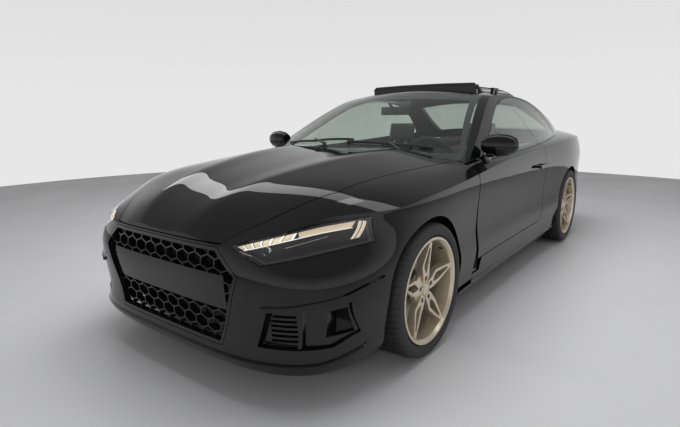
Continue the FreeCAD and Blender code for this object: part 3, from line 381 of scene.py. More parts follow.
# %% Control points of the roof and of the side windows
# Each entry is (y, height, how far the row bends in plan, how much it drops at the side)
ROOF_PROFILE = [
    (-1260, 868, 0.50, 0.02), (-1150, 932, 0.51, 0.02), (-1030, 985, 0.52, 0.02), (-850, 1066, 0.52, 0.02),
    (-650, 1157, 0.52, 0.02), (-450, 1244, 0.54, 0.03), (-300, 1307, 0.56, 0.05), (-150, 1345, 0.40, 0.11),
    (50, 1366, 0.20, 0.16), (300, 1373, 0.05, 0.17), (550, 1367, 0.0, 0.17), (780, 1346, 0.0, 0.16),
    (980, 1308, -0.1, 0.14), (1200, 1250, -0.2, 0.10), (1430, 1165, -0.25, 0.06), (1650, 1085, -0.25, 0.04),
    (1830, 1018, -0.25, 0.03), (1950, 975, -0.25, 0.03), (2080, 925, -0.25, 0.03),
]
ROOF_ACROSS = [0, 110, 220, 330, 440, 540, 620, 700, 790, 880]
CABIN_HALF_WIDTH = [
    (-1400, 755), (-1050, 782), (-800, 800), (-500, 812), (-150, 819), (250, 820), (650, 814), (1000, 796),
    (1350, 760), (1700, 700), (2000, 620), (2300, 520),
]
CABIN_ROWS = [860, 930, 1020, 1120, 1220, 1310, 1400, 1480]
CABIN_LEAN = 0.45
CABIN_CURVE = 0.25


def roof_poles(lift=0.0):
    """Control points of windscreen, roof and rear window, in metres, raised by lift millimetres."""
    rows = []
    for y, z, bend, crown in ROOF_PROFILE:
        left = [(x, y + bend * x * x / 1000, z - crown * x * x / 1000 + lift) for x in ROOF_ACROSS]
        rows.append(mirrored_row(left))
    return np.array(rows) * MM


def window_poles(side):
    """Control points of the side windows, in metres; side is 1 on the left and -1 on the right."""
    rows = []
    for y, half in CABIN_HALF_WIDTH:
        row = []
        for z in CABIN_ROWS:
            up = z - BELT_Z
            row.append((side * (half - CABIN_LEAN * up - CABIN_CURVE * up * abs(up) / 1000), y, z))
        rows.append(row)
    return np.array(rows) * MM


print("roof:", roof_poles().shape, "windows:", window_poles(1).shape)

# %% [markdown]
# ## Measuring on a smooth surface
# A spline surface is a weighted mean of its control points. The weights are simple polynomials of the two
# surface parameters, so numpy can evaluate thousands of points at once. To find the surface point nearest
# to a vertex we start from a coarse grid and then step along the two tangents until we stop moving.

# %% The smooth surface
DEGREE = 3
FINE_STEP = 1e-5


def local_weights(count, place):
    """For each parameter in place, the first of its four control points, and their weights."""
    spans = count - DEGREE
    knots = np.concatenate([np.zeros(DEGREE), np.arange(spans + 1), np.full(DEGREE, spans)]).astype(float)
    first = np.clip(place.astype(int), 0, spans - 1)
    at_knot = first + DEGREE
    left = [place - knots[at_knot + 1 - j] for j in range(DEGREE + 1)]
    right = [knots[at_knot + j] - place for j in range(DEGREE + 1)]
    weights = [np.ones(len(place))]
    for j in range(1, DEGREE + 1):
        carried = np.zeros(len(place))
        for r in range(j):
            share = weights[r] / (right[r + 1] + left[j - r])
            weights[r] = carried + right[r + 1] * share
            carried = left[j - r] * share
        weights.append(carried)
    return first, np.stack(weights, axis=1)


class SmoothSurface:
    """A surface drawn towards a grid of control points."""

    def __init__(self, poles, samples=(150, 100)):
        self.poles = poles
        self.spans = np.array([poles.shape[0] - DEGREE, poles.shape[1] - DEGREE], float)
        u, v = np.meshgrid(
            *(np.linspace(0, span, count) for span, count in zip(self.spans, samples)), indexing="ij"
        )
        self.grid = np.stack([u.ravel(), v.ravel()], axis=1)
        self.tree = KDTree(len(self.grid))
        for i, place in enumerate(self.at(self.grid)):
            self.tree.insert(place, i)
        self.tree.balance()

    def at(self, uv):
        row, row_weights = local_weights(self.poles.shape[0], uv[:, 0])
        column, column_weights = local_weights(self.poles.shape[1], uv[:, 1])
        reach = np.arange(DEGREE + 1)
        near = self.poles[(row[:, None] + reach)[:, :, None], (column[:, None] + reach)[:, None, :]]
        return np.einsum("ni,nj,nijk->nk", row_weights, column_weights, near)

    def frame_at(self, uv):
        """Points and the two tangents there."""
        here = self.at(uv)
        along_u = (self.at(uv + (FINE_STEP, 0)) - here) / FINE_STEP
        along_v = (self.at(uv + (0, FINE_STEP)) - here) / FINE_STEP
        return here, along_u, along_v

    def start(self, points):
        """Parameters of the nearest coarse grid point, and how far away it is."""
        found = [self.tree.find(p)[1:] for p in points]
        return self.grid[[i for i, _ in found]], np.array([far for _, far in found])

    def nearest(self, points, rounds=5):
        """Nearest surface points and the unit directions square to the surface there."""
        uv, _ = self.start(points)
        for _ in range(rounds):
            here, a, b = self.frame_at(uv)
            off = points - here
            aa, ab, bb = (a * a).sum(1), (a * b).sum(1), (b * b).sum(1)
            ra, rb = (a * off).sum(1), (b * off).sum(1)
            whole = aa * bb - ab * ab + 1e-18
            uv = uv + np.stack([(bb * ra - ab * rb) / whole, (aa * rb - ab * ra) / whole], axis=1)
            uv = np.clip(uv, 1e-4, self.spans - 1e-4)
        here, a, b = self.frame_at(uv)
        normal = np.cross(a, b)
        return here, normal / (np.linalg.norm(normal, axis=1)[:, None] + 1e-15)


SURFACES = [
    SmoothSurface(side_poles()), SmoothSurface(top_poles()), SmoothSurface(roof_poles()),
    SmoothSurface(window_poles(1)), SmoothSurface(window_poles(-1)), SmoothSurface(side_poles(RAISED)),
]
print("surfaces ready:", [list(s.spans) for s in SURFACES])

# %% [markdown]
# ## Dressing a panel
# A painted node comes as loose triangles with flat cut edges. We merge its corners, find which of them lie
# on a body surface, split the long edges there and move each new corner onto the true curve. The outer skin
# then gets the surface's own direction at each corner, and everything else keeps what its angles give. The
# result replaces the node and has its exact shape, only smoother.

# %% Dress a panel
ON_SURFACE = 0.00012
NEAR_SURFACE = 0.06
FACING = 0.8
SAME_PLACE = 2e-5
LONGEST_EDGE = 0.035
SMOOTH_ANGLE = math.radians(28)


def memberships(points):
    """One bit for each surface that a point lies on."""
    bits = np.zeros(len(points), int)
    for i, surface in enumerate(SURFACES):
        near = np.nonzero(surface.start(points)[1] < NEAR_SURFACE)[0]
        if len(near):
            found, _ = surface.nearest(points[near])
            bits[near] |= (np.linalg.norm(found - points[near], axis=1) < ON_SURFACE).astype(int) << i
    return bits


def onto_surfaces(points, bits):
    """Moves each point onto its surface, or onto the line where two surfaces meet."""
    moved = points.copy()
    for _ in range(3):
        for i, surface in enumerate(SURFACES):
            mine = (bits >> i) & 1 == 1
            if mine.any():
                moved[mine] = surface.nearest(moved[mine], rounds=3)[0]
    return moved


def merged_copy(name):
    bm = bmesh.new()
    bm.from_mesh(nodes[name].data)
    bmesh.ops.remove_doubles(bm, verts=bm.verts, dist=SAME_PLACE)
    return bm


def points_of(vertices):
    return np.array([v.co for v in vertices], float).reshape(-1, 3)


def rounded(point):
    return tuple(round(c, 6) for c in point)


def split_long_edges(bm, layer):
    """Halves the long edges on the surfaces."""
    for _ in range(6):
        long_edges = [
            e for e in bm.edges
            if e.calc_length() > LONGEST_EDGE and e.verts[0][layer] & e.verts[1][layer]
        ]
        if not long_edges:
            break
        shared = {e: e.verts[0][layer] & e.verts[1][layer] for e in long_edges}
        middles = {rounded((e.verts[0].co + e.verts[1].co) / 2): bits for e, bits in shared.items()}
        made = bmesh.ops.subdivide_edges(bm, edges=long_edges, cuts=1)
        new = [v for v in made["geom_inner"] if isinstance(v, bmesh.types.BMVert)]
        for v in new:
            v[layer] = middles.get(rounded(v.co), 0)
        held = [v for v in new if v[layer]]
        if held:
            places = onto_surfaces(points_of(held), np.array([v[layer] for v in held]))
            for v, place in zip(held, places):
                v.co = place
        bmesh.ops.triangulate(bm, faces=[f for f in bm.faces if len(f.verts) > 3])


def triples(items, what):
    """A three-part value of every vertex, face or corner of a mesh."""
    values = np.zeros(len(items) * 3, np.float32)
    items.foreach_get(what, values)
    return values.reshape(-1, 3).astype(float)


def true_corner_directions(mesh, bits):
    """Direction of every face corner: the surface's own on the outer skin, and smoothed elsewhere."""
    mesh.set_sharp_from_angle(angle=SMOOTH_ANGLE)
    corner, places = triples(mesh.corner_normals, "vector"), triples(mesh.vertices, "co")
    vertex_of = np.zeros(len(mesh.loops), int)
    mesh.loops.foreach_get("vertex_index", vertex_of)
    face_of = np.repeat(np.arange(len(mesh.polygons)), [p.loop_total for p in mesh.polygons])
    face_direction = triples(mesh.polygons, "normal")[face_of]
    face_bits = np.full(len(mesh.polygons), 2 ** len(SURFACES) - 1)
    np.bitwise_and.at(face_bits, face_of, bits[vertex_of])
    for i, surface in enumerate(SURFACES):
        mine = np.nonzero((face_bits[face_of] >> i) & 1)[0]
        if len(mine):
            corners = np.unique(vertex_of[mine])
            direction = surface.nearest(places[corners])[1][np.searchsorted(corners, vertex_of[mine])]
            facing = (direction * face_direction[mine]).sum(1)
            good = np.abs(facing) > FACING
            corner[mine[good]] = direction[good] * np.sign(facing[good])[:, None]
    return corner


def dressed(name):
    """A smooth copy of a node that takes its place, with no material yet."""
    bm = merged_copy(name)
    layer = bm.verts.layers.int.new("on_surface")
    for v, bits in zip(bm.verts, memberships(points_of(bm.verts))):
        v[layer] = int(bits)
    split_long_edges(bm, layer)
    for f in bm.faces:
        f.smooth = True
    bits = np.array([v[layer] for v in bm.verts])
    mesh = mesh_of(bm, name + "_skin")
    mesh.normals_split_custom_set(true_corner_directions(mesh, bits))
    mesh.attributes.remove(mesh.attributes["on_surface"])
    skin = added(name + "_skin", mesh)
    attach(skin, body_of_node[name])
    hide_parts(name)
    return skin


def finish_with(obj, material):
    """Gives an object one material, and a new piece its slot."""
    obj.data.materials.clear()
    obj.data.materials.append(material)
    return obj


print("dressing tools ready")

# %% [markdown]
# ## Finishes
# Each finish is a small node tree. Black paint is a dark base under a clear, mirror-smooth coat; a faint
# ripple in the coat keeps long reflections from looking like polished glass. Mouldings, rubber, leather and
# castings each get a grain at its real size.

# %% Finishes as node trees
GLASS_INDEX = 1.5
PATCH_SCALE = 4.0


def tinted(tree, socket, dark, light):
    """Two colours mixed by a socket's value."""
    ends = {"A": (*dark, 1), "B": (*light, 1)}
    return node(tree, "ShaderNodeMix", {"Factor": socket, **ends}, data_type="RGBA")["Result"]


def finish(name, dark, light, rough, metallic=0.0, grain=None, coat=0.0, coat_rough=0.03, specular=0.5,
           glow=None):
    """One procedural finish: two close colours, uneven roughness and a fine grain in relief.
    The grain is its scale, depth, strength and detail, and the glow a colour and its strength."""
    material, tree = new_material(name)
    patches = noise(tree, PATCH_SCALE, 5)
    values = {
        "Base Color": tinted(tree, remapped(tree, patches, 0, 1), dark, light),
        "Roughness": remapped(tree, patches, *rough), "Metallic": metallic, "IOR": GLASS_INDEX,
        "Specular IOR Level": specular, "Coat Weight": coat, "Coat Roughness": coat_rough,
    }
    if glow:
        values.update({"Emission Color": (*glow[0], 1), "Emission Strength": glow[1]})
    if grain:
        scale, depth, strength, detail = grain
        relief = {"Strength": strength, "Distance": depth, "Height": noise(tree, scale, detail)}
        values["Normal"] = node(tree, "ShaderNodeBump", relief)["Normal"]
        if coat:
            values["Coat Normal"] = values["Normal"]
    surface = node(tree, "ShaderNodeBsdfPrincipled", values)["BSDF"]
    node(tree, "ShaderNodeOutputMaterial", {"Surface": surface})
    return material


def glass_finish(name, colour):
    """Thin tinted glass: a clear sheet that darkens what is behind it and mirrors the room at a slant.
    The index is turned over on the far side of the sheet, where the ray leaves the glass."""
    material, tree = new_material(name)
    leaving = node(tree, "ShaderNodeNewGeometry")["Backfacing"]
    index = remapped(tree, leaving, GLASS_INDEX, 1 / GLASS_INDEX, 0, 1)
    clear = node(tree, "ShaderNodeBsdfTransparent", {"Color": (*colour, 1)})["BSDF"]
    gloss = node(tree, "ShaderNodeBsdfGlossy", {"Color": WHITE, "Roughness": 0.0})["BSDF"]
    sheet = mixed(tree, node(tree, "ShaderNodeFresnel", {"IOR": index})["Fac"], clear, gloss)
    node(tree, "ShaderNodeOutputMaterial", {"Surface": sheet})
    return material


print("finish tools ready")

# %% Paint, mouldings, rubber and metals
PAINT = finish("gloss_black_paint", (0.0022, 0.0022, 0.0025), (0.0032, 0.0032, 0.0036), (0.35, 0.42),
               grain=(900, 0.00002, 0.02, 1), coat=1.0, coat_rough=0.012, specular=0.0)
GLOSS_BLACK = finish("gloss_black_moulding", (0.004, 0.004, 0.0045), (0.006, 0.006, 0.0065), (0.10, 0.16),
                     grain=(700, 0.00003, 0.05, 4))
MATTE_BLACK = finish("grained_black_moulding", (0.016, 0.016, 0.017), (0.024, 0.024, 0.025), (0.50, 0.62),
                     grain=(1400, 0.0002, 0.35, 4))
UNDERBODY = finish("underbody_coating", (0.018, 0.018, 0.018), (0.035, 0.034, 0.033), (0.70, 0.85),
                   grain=(260, 0.0006, 0.4, 4))
BRONZE = finish("bronze_wheel_paint", (0.68, 0.59, 0.46), (0.74, 0.645, 0.505), (0.30, 0.36), metallic=0.8,
                grain=(1500, 0.00005, 0.1, 4), coat=0.4)
TYRE_RUBBER = finish("tyre_rubber", (0.012, 0.012, 0.0125), (0.020, 0.020, 0.021), (0.52, 0.66),
                     grain=(900, 0.00015, 0.25, 4))
CAST_METAL = finish("cast_metal", (0.055, 0.055, 0.056), (0.10, 0.10, 0.10), (0.45, 0.6), metallic=0.6,
                    grain=(420, 0.0004, 0.4, 4))
TURNED_STEEL = finish("turned_brake_steel", (0.30, 0.30, 0.31), (0.42, 0.41, 0.40), (0.28, 0.38),
                      metallic=1.0, grain=(600, 0.0001, 0.2, 4))
POLISHED_STEEL = finish("polished_exhaust_steel", (0.52, 0.52, 0.53), (0.60, 0.59, 0.58), (0.12, 0.22),
                        metallic=1.0, grain=(300, 0.00005, 0.1, 4))
ALLOY = finish("cast_alloy", (0.32, 0.32, 0.33), (0.42, 0.42, 0.42), (0.40, 0.50), metallic=0.8,
               grain=(350, 0.0004, 0.35, 4))
LEATHER = finish("black_leather", (0.014, 0.0135, 0.0135), (0.024, 0.023, 0.023), (0.42, 0.52),
                 grain=(520, 0.0005, 0.45, 2))
THREAD = finish("seam_thread", (0.10, 0.10, 0.10), (0.16, 0.155, 0.15), (0.6, 0.7),
                grain=(3000, 0.0001, 0.3, 4))
RUBBER_SEAL = finish("seal_rubber", (0.008, 0.008, 0.008), (0.013, 0.013, 0.013), (0.45, 0.55),
                     grain=(800, 0.0001, 0.2, 4))
CHROME = finish("bright_chrome", (0.82, 0.82, 0.83), (0.88, 0.88, 0.88), (0.06, 0.10), metallic=1.0)
MIRROR_GLASS = finish("silvered_mirror", (0.90, 0.91, 0.92), (0.93, 0.94, 0.94), (0.01, 0.02), metallic=1.0)
SCREEN = finish("dark_screen", (0.004, 0.004, 0.006), (0.007, 0.007, 0.009), (0.05, 0.08), coat=1.0)
print("solid finishes:", len(bpy.data.materials))

# %% Glass and lamps
TINTED_GLASS = glass_finish("green_tinted_glass", (0.84, 0.88, 0.86))
DARK_GLASS = glass_finish("dark_roof_glass", (0.16, 0.17, 0.17))
CLEAR_LENS = glass_finish("clear_lamp_lens", (0.97, 0.97, 0.98))
RED_LENS = finish("dark_red_lens", (0.10, 0.004, 0.005), (0.14, 0.005, 0.006), (0.06, 0.09),
                  grain=(240, 0.0001, 0.05, 4), coat=1.0)
LAMP_DARK = finish("dark_lamp_bowl", (0.02, 0.02, 0.022), (0.035, 0.035, 0.038), (0.2, 0.3), metallic=0.3)
# The gold guides are given a faint emission although the headlamps are off: a painted glow.
LAMP_GOLD = finish("gold_light_guide", (0.74, 0.62, 0.40), (0.86, 0.74, 0.52), (0.25, 0.35), metallic=0.3,
                   glow=((1.0, 0.84, 0.58), 0.16))
# The white guide edges are given an emission although the headlamps are off: a painted highlight on a white
# part.
LAMP_WHITE = finish("white_guide_edge_painted_glow", (0.88, 0.86, 0.80), (0.94, 0.92, 0.87), (0.2, 0.3),
                    glow=((1.0, 0.94, 0.82), 0.35))
# The red guides are given a faint emission although the tail lamps are off: a painted glow.
RED_CORE = finish("red_light_guide", (0.50, 0.012, 0.012), (0.60, 0.02, 0.018), (0.2, 0.3),
                  glow=((1.0, 0.03, 0.02), 0.08))
print("finishes:", len(bpy.data.materials))

# %% Dress the painted panels and the glass
PANELS = {
    (PAINT, "black_paint"): [
        "bonnet", "boot_lid", "front_bumper", "rear_bumper", "front_fenders", "side_frame_left",
        "side_frame_right", "roof", "door_left", "door_right",
    ],
    (TINTED_GLASS, "glass"): [
        "windscreen", "rear_window", "quarter_windows", "door_glass_left", "door_glass_right",
    ],
    (CLEAR_LENS, "lamp_lens"): ["headlamps"],
    (RED_LENS, "tail_lens"): ["tail_lamps"],
}
for (material, slot), members in PANELS.items():
    for name in members:
        finish_with(dressed(name), material)
print("dressed", sum(map(len, PANELS.values())), "panels")

# %% [markdown]
# ## Small tools for the pieces that follow
# Most fittings are one of three things: a shape of the solid model with its edges broken, a bar swept along
# a line, or one small shape repeated by a rule. Broken edges matter because every real edge has a small
# radius that catches light. The repeated shapes come from Geometry Nodes trees, whose inputs are the sizes
# that a maker would name.

# %% Simple shapes, each as a pair of points and faces in metres
def rings_joined(points, around, closed=False):
    """A tube's faces through equal rings of points, with its two ends closed unless it runs round."""
    count = len(points) // around
    faces = []
    for i in range(count if closed else count - 1):
        for j in range(around):
            a, b = i * around + j, i * around + (j + 1) % around
            c, d = (i + 1) % count * around + (j + 1) % around, (i + 1) % count * around + j
            faces.append((a, b, c, d))
    if not closed:
        faces += [tuple(range(around)), tuple(reversed(range((count - 1) * around, count * around)))]
    return points, faces


def swept(path, outline, up=(0, 0, 1), closed=False):
    """A bar: an outline of (sideways, upwards) pairs carried along a path."""
    path = np.array(path, float)
    ahead = np.roll(path, -1, axis=0) - np.roll(path, 1, axis=0)
    if not closed:
        ahead[0], ahead[-1] = path[1] - path[0], path[-1] - path[-2]
    ahead /= np.linalg.norm(ahead, axis=1)[:, None]
    side = np.cross(ahead, np.broadcast_to(np.array(up, float), path.shape))
    side /= np.linalg.norm(side, axis=1)[:, None]
    rise = np.cross(side, ahead)
    outline = np.array(outline, float)
    points = path[:, None] + side[:, None] * outline[None, :, :1] + rise[:, None] * outline[None, :, 1:]
    return rings_joined(points.reshape(-1, 3), len(outline), closed)


def oval(wide, tall, sides=10):
    turns = [2 * math.pi * k / sides for k in range(sides)]
    return [(wide * math.cos(t), tall * math.sin(t)) for t in turns]


def joined(parts):
    """Several shapes as one."""
    points, faces, start = [], [], 0
    for some_points, some_faces in parts:
        points += [tuple(map(float, p)) for p in some_points]
        faces += [tuple(int(i) + start for i in f) for f in some_faces]
        start += len(some_points)
    return points, faces


def shape_of(bm):
    bm.verts.index_update()
    shape = [tuple(v.co) for v in bm.verts], [[v.index for v in f.verts] for f in bm.faces]
    bm.free()
    return shape


def block(low, high, edge=0.003):
    """A box with cut corners, from its lowest to its highest corner."""
    low, high = np.array(low, float), np.array(high, float)
    middle, half = (low + high) / 2, (high - low) / 2
    edge = min(edge, *(half * 0.45))
    bm = bmesh.new()
    bmesh.ops.create_cube(bm, size=2)
    for v in bm.verts:
        v.co = Vector(middle + np.array(v.co) * half)
    bmesh.ops.bevel(bm, geom=bm.edges[:], offset=edge, segments=2, profile=0.6, affect="EDGES")
    return shape_of(bm)


def merged(points, faces, distance=1e-6):
    """The same shape with doubled points made one."""
    bm = bmesh.new()
    made = [bm.verts.new(p) for p in points]
    for f in faces:
        bm.faces.new([made[i] for i in f])
    bmesh.ops.remove_doubles(bm, verts=bm.verts, dist=distance)
    bmesh.ops.dissolve_degenerate(bm, edges=bm.edges, dist=distance)
    return shape_of(bm)


def lathe(profile, centre=(0, 0, 0), axis="X", sides=40):
    """A turned shape: (along, radius) pairs spun round an axis through centre."""
    first = "XYZ".index(axis)
    points, faces, count = [], [], len(profile)
    for i in range(sides):
        angle = 2 * math.pi * i / sides
        for along_axis, radius in profile:
            place = [0.0, 0.0, 0.0]
            for k, reach in enumerate((along_axis, radius * math.cos(angle), radius * math.sin(angle))):
                place[(first + k) % 3] = centre[(first + k) % 3] + reach
            points.append(place)
        for j in range(count - 1):
            a, b = i * count + j, (i + 1) % sides * count + j
            faces.append((a, b, b + 1, a + 1))
    return merged(points, faces)


print("shape tools ready")

# %% Pieces on the car
def smoothed(mesh, sharp):
    for face in mesh.polygons:
        face.use_smooth = True
    mesh.set_sharp_from_angle(angle=math.radians(sharp))


def settled(piece, body, slot, material, side=1, sharp=35.0, shift=(0, 0, 0)):
    """Moves a shape to the car's left (side 1) or right (side -1) in its own mesh, and gives it a body."""
    bm = bmesh.new()
    bm.from_mesh(piece.data)
    for v in bm.verts:
        v.co = Vector((v.co.x * side + shift[0], v.co.y + shift[1], v.co.z + shift[2]))
    # A mirrored shape's faces still carry their old directions, which would turn it inside out
    bm.normal_update()
    bmesh.ops.recalc_face_normals(bm, faces=bm.faces)
    bm.to_mesh(piece.data)
    bm.free()
    smoothed(piece.data, sharp)
    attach(piece, body)
    return finish_with(piece, material)


def new_piece(name, shapes, body, slot, material, **placing):
    """A piece of one shape, or of a list of them."""
    points, faces = joined(shapes if isinstance(shapes, list) else [shapes])
    mesh = bpy.data.meshes.new(name)
    mesh.from_pydata(points, [], faces)
    return settled(added(name, mesh), body, slot, material, **placing)


def applied(piece):
    """Turns what a piece's modifiers show into its own mesh."""
    shown = piece.evaluated_get(bpy.context.evaluated_depsgraph_get())
    mesh = bpy.data.meshes.new_from_object(shown)
    mesh.name = piece.name
    piece.modifiers.clear()
    piece.data = mesh
    return piece


def edge_broken(name, width, material, sharp=30.0, segments=2):
    """A copy of a node with its sharp edges rounded, which takes the node's place."""
    bm = merged_copy(name)
    bmesh.ops.dissolve_limit(bm, angle_limit=math.radians(0.8), verts=bm.verts, edges=bm.edges)
    piece = added(name + "_edged", mesh_of(bm, name + "_edged"))
    bevel = piece.modifiers.new("edges", "BEVEL")
    bevel.width = width
    bevel.segments = segments
    bevel.limit_method = "ANGLE"
    bevel.angle_limit = math.radians(sharp)
    bevel.harden_normals = True
    bevel.use_clamp_overlap = True
    smoothed(piece.data, sharp)
    applied(piece)
    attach(piece, body_of_node[name])
    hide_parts(name)
    return finish_with(piece, material)


print("piece tools ready")

# %% Geometry Nodes: copies round an axle, and copies along a line
def start_tree(name, inputs):
    """A node tree with a geometry input, named inputs and a geometry output, and its inputs' sockets."""
    tree = bpy.data.node_groups.new(name, "GeometryNodeTree")
    tree.interface.new_socket(name="Geometry", in_out="INPUT", socket_type="NodeSocketGeometry")
    for label, (kind, value) in inputs.items():
        socket = tree.interface.new_socket(name=label, in_out="INPUT", socket_type="NodeSocket" + kind)
        if value is not None:
            socket.default_value = value
    tree.interface.new_socket(name="Geometry", in_out="OUTPUT", socket_type="NodeSocketGeometry")
    return tree, node(tree, "NodeGroupInput")


def end_tree(tree, entry, copies):
    """Realizes the copies, welds their seams and gives them their material."""
    real = node(tree, "GeometryNodeRealizeInstances", {"Geometry": copies})["Geometry"]
    weld = node(tree, "GeometryNodeMergeByDistance", {"Geometry": real, "Distance": 1e-5})["Geometry"]
    finished = {"Geometry": weld, "Material": entry["Finish"]}
    node(tree, "NodeGroupOutput", {"Geometry": node(tree, "GeometryNodeSetMaterial", finished)["Geometry"]})
    return tree


def round_axle_tree():
    """Copies of a shape turned round the X axis by equal steps."""
    tree, entry = start_tree("copies_round_an_axle", {
        "Count": ("Int", 5), "First Turn": ("Float", 0.0), "Finish": ("Material", None),
    })
    points = node(tree, "GeometryNodePoints", {"Count": entry["Count"]})["Points"]
    index = node(tree, "GeometryNodeInputIndex")["Index"]
    share = node(tree, "ShaderNodeMath", {0: index, 1: entry["Count"]}, operation="DIVIDE")["Value"]
    steps = {0: share, 1: 2 * math.pi, 2: entry["First Turn"]}
    turn = node(tree, "ShaderNodeMath", steps, operation="MULTIPLY_ADD")["Value"]
    angles = node(tree, "ShaderNodeCombineXYZ", {"X": turn})["Vector"]
    copies = {"Points": points, "Instance": entry["Geometry"], "Rotation": angles}
    return end_tree(tree, entry, node(tree, "GeometryNodeInstanceOnPoints", copies)["Instances"])


def along_line_tree():
    """Small rounded bars set along a line at equal steps, each pointing along it."""
    tree, entry = start_tree("copies_along_a_line", {
        "Spacing": ("Float", 0.01), "Length": ("Float", 0.006), "Thickness": ("Float", 0.001),
        "Finish": ("Material", None),
    })
    curve = node(tree, "GeometryNodeMeshToCurve", {"Mesh": entry["Geometry"]})["Curve"]
    steps = {"Curve": curve, "Length": entry["Spacing"]}
    line = node(tree, "GeometryNodeResampleCurve", steps, mode="LENGTH")["Curve"]
    sizes = {"Vertices": 6, "Depth": entry["Length"], "Radius": entry["Thickness"]}
    bar = node(tree, "GeometryNodeMeshCylinder", sizes)["Mesh"]
    tangent = node(tree, "GeometryNodeInputTangent")["Tangent"]
    turn = node(tree, "FunctionNodeAlignRotationToVector", {"Vector": tangent}, axis="Z")["Rotation"]
    copies = {"Points": line, "Instance": bar, "Rotation": turn}
    return end_tree(tree, entry, node(tree, "GeometryNodeInstanceOnPoints", copies)["Instances"])


def grown(name, shape, tree, values, edges=()):
    """Feeds a shape to a node tree and gives back the result as a plain object."""
    mesh = bpy.data.meshes.new(name)
    mesh.from_pydata([tuple(map(float, p)) for p in shape[0]], list(edges), shape[1])
    piece = added(name, mesh)
    modifier = piece.modifiers.new("grow", "NODES")
    modifier.node_group = tree
    for item in tree.interface.items_tree:
        if item.in_out == "INPUT" and item.name in values:
            modifier[item.identifier] = values[item.name]
    return applied(piece)


ROUND_AXLE = round_axle_tree()
ALONG_LINE = along_line_tree()
print("node trees:", [tree.name for tree in bpy.data.node_groups])

# %% [markdown]
# ## Tyres
# The solid tyre is a plain ring. The real one has four grooves round it, slanted cuts across its ribs and
# shoulders, and a ridge on its side wall that protects the rim. All of it repeats every few degrees, so one
# pitch is modelled as a strip of its cross-section, and a Geometry Nodes tree turns copies of it round the
# axle and welds them.

# %% One pitch of the tread
TYRE_PITCHES = 66
GROOVES = [-62, -22, 22, 62]
GROOVE_DEPTH = 6.5
GROOVE_EDGES = (-5.0, -3.4, 3.4, 5.0)
TREAD_HALF = 98.0
TREAD_DROP = 3.0
SHOULDER_START = 66
SLANT, SLANT_END = 0.75, 110
# Depth of the cuts, in millimetres
SHOULDER_CUT, RIB_CUT, SECOND_RIB_CUT, WALL_CUT = 5.0, 2.6, 2.0, 2.4
FIRST_CUT, SECOND_CUT = (0.09, 0.19), (0.56, 0.60)
ROWS = [0.0, 0.05, 0.09, 0.19, 0.23, 0.54, 0.56, 0.60, 0.62, 1.0]
SIDE_WALL = [
    (110.5, 255.5), (111.5, 264), (117, 267), (126, 271), (130.5, 275), (131, 278), (129.5, 281),
    (131.5, 288), (132.3, 298), (131.4, 300), (132.2, 302), (130, 311), (126, 319), (119, 325),
    (110, 328.5), (101, 330.0),
]


def tread_radius(across):
    return TYRE_RADIUS - TREAD_DROP * (across / TREAD_HALF) ** 2


def tread_columns():
    """(across, radius, zone) over the tread; zone names what may be cut into it."""
    columns = []
    edges = [-TREAD_HALF] + [g + d for g in GROOVES for d in GROOVE_EDGES] + [TREAD_HALF]
    for i, a in enumerate(edges):
        bottom = any(abs(abs(a - g) - GROOVE_EDGES[2]) < 0.01 for g in GROOVES)
        columns.append((a, tread_radius(a) - (GROOVE_DEPTH if bottom else 0), "groove" if bottom else "rib"))
        if i + 1 < len(edges) and edges[i + 1] - a > 20:
            for share in (0.12, 0.5, 0.88):
                b = a + (edges[i + 1] - a) * share
                columns.append((b, tread_radius(b), "cut"))
    return columns


def cut_depth(across, radius, zone, row):
    """How deep the tread is cut at one point of the pitch."""
    shoulder = abs(across) > SHOULDER_START
    if zone == "cut" and row in FIRST_CUT:
        return SHOULDER_CUT if shoulder else RIB_CUT
    if zone == "cut" and row in SECOND_CUT and not shoulder:
        return SECOND_RIB_CUT
    return WALL_CUT if zone == "wall" and radius > 318 and row in FIRST_CUT else 0.0


def pitch_strip():
    """One pitch of the tyre round its whole cross-section."""
    section = [(-a, r, "wall") for a, r in SIDE_WALL] + tread_columns()
    section += [(a, r, "wall") for a, r in reversed(SIDE_WALL)]
    points = []
    for row in ROWS:
        for a, r, zone in section:
            angle = 2 * math.pi / TYRE_PITCHES * (row + SLANT * min(abs(a), SLANT_END) / TREAD_HALF)
            radius = (r - cut_depth(a, r, zone, row)) * MM
            points.append((a * MM, -radius * math.sin(angle), -radius * math.cos(angle)))
    return points, rings_joined(points, len(section))[1][:-2]


pitch = pitch_strip()
print("one pitch:", len(pitch[0]), "points,", TYRE_PITCHES, "pitches to a tyre")

# %% Turn the pitches into four tyres
CORNERS = [
    (axle + "_" + side, sign, (WHEEL_X * MM * sign, y * MM, TYRE_RADIUS * MM))
    for axle, y in (("front", FRONT_AXLE_Y), ("rear", REAR_AXLE_Y)) for side, sign in SIDES
]
for corner, sign, hub in CORNERS:
    tyre = grown("tyre_tread_" + corner, pitch, ROUND_AXLE, {"Count": TYRE_PITCHES, "Finish": TYRE_RUBBER})
    settled(tyre, "wheel_" + corner, "tyre", TYRE_RUBBER, side=sign, sharp=28, shift=hub)
    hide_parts("tyre_" + corner)
print("tyres:", len(CORNERS), "of", len(tyre.data.polygons), "faces")

# %% [markdown]
# ## Rims, bolts and brakes
# The five-armed rim comes from the solid model. Its look is in its edges: the arms' ridges are narrow
# bright lines against softly painted sides. A fine two-step bevel gives them. Each lug hole holds a
# hexagonal bolt, the hub has a blank cap, and the brake disc is turned steel with fine rings.

# %% Rims with broken edges
for corner, _, _ in CORNERS:
    edge_broken("rim_" + corner, 0.0022, BRONZE, sharp=24)
print("rims edged")

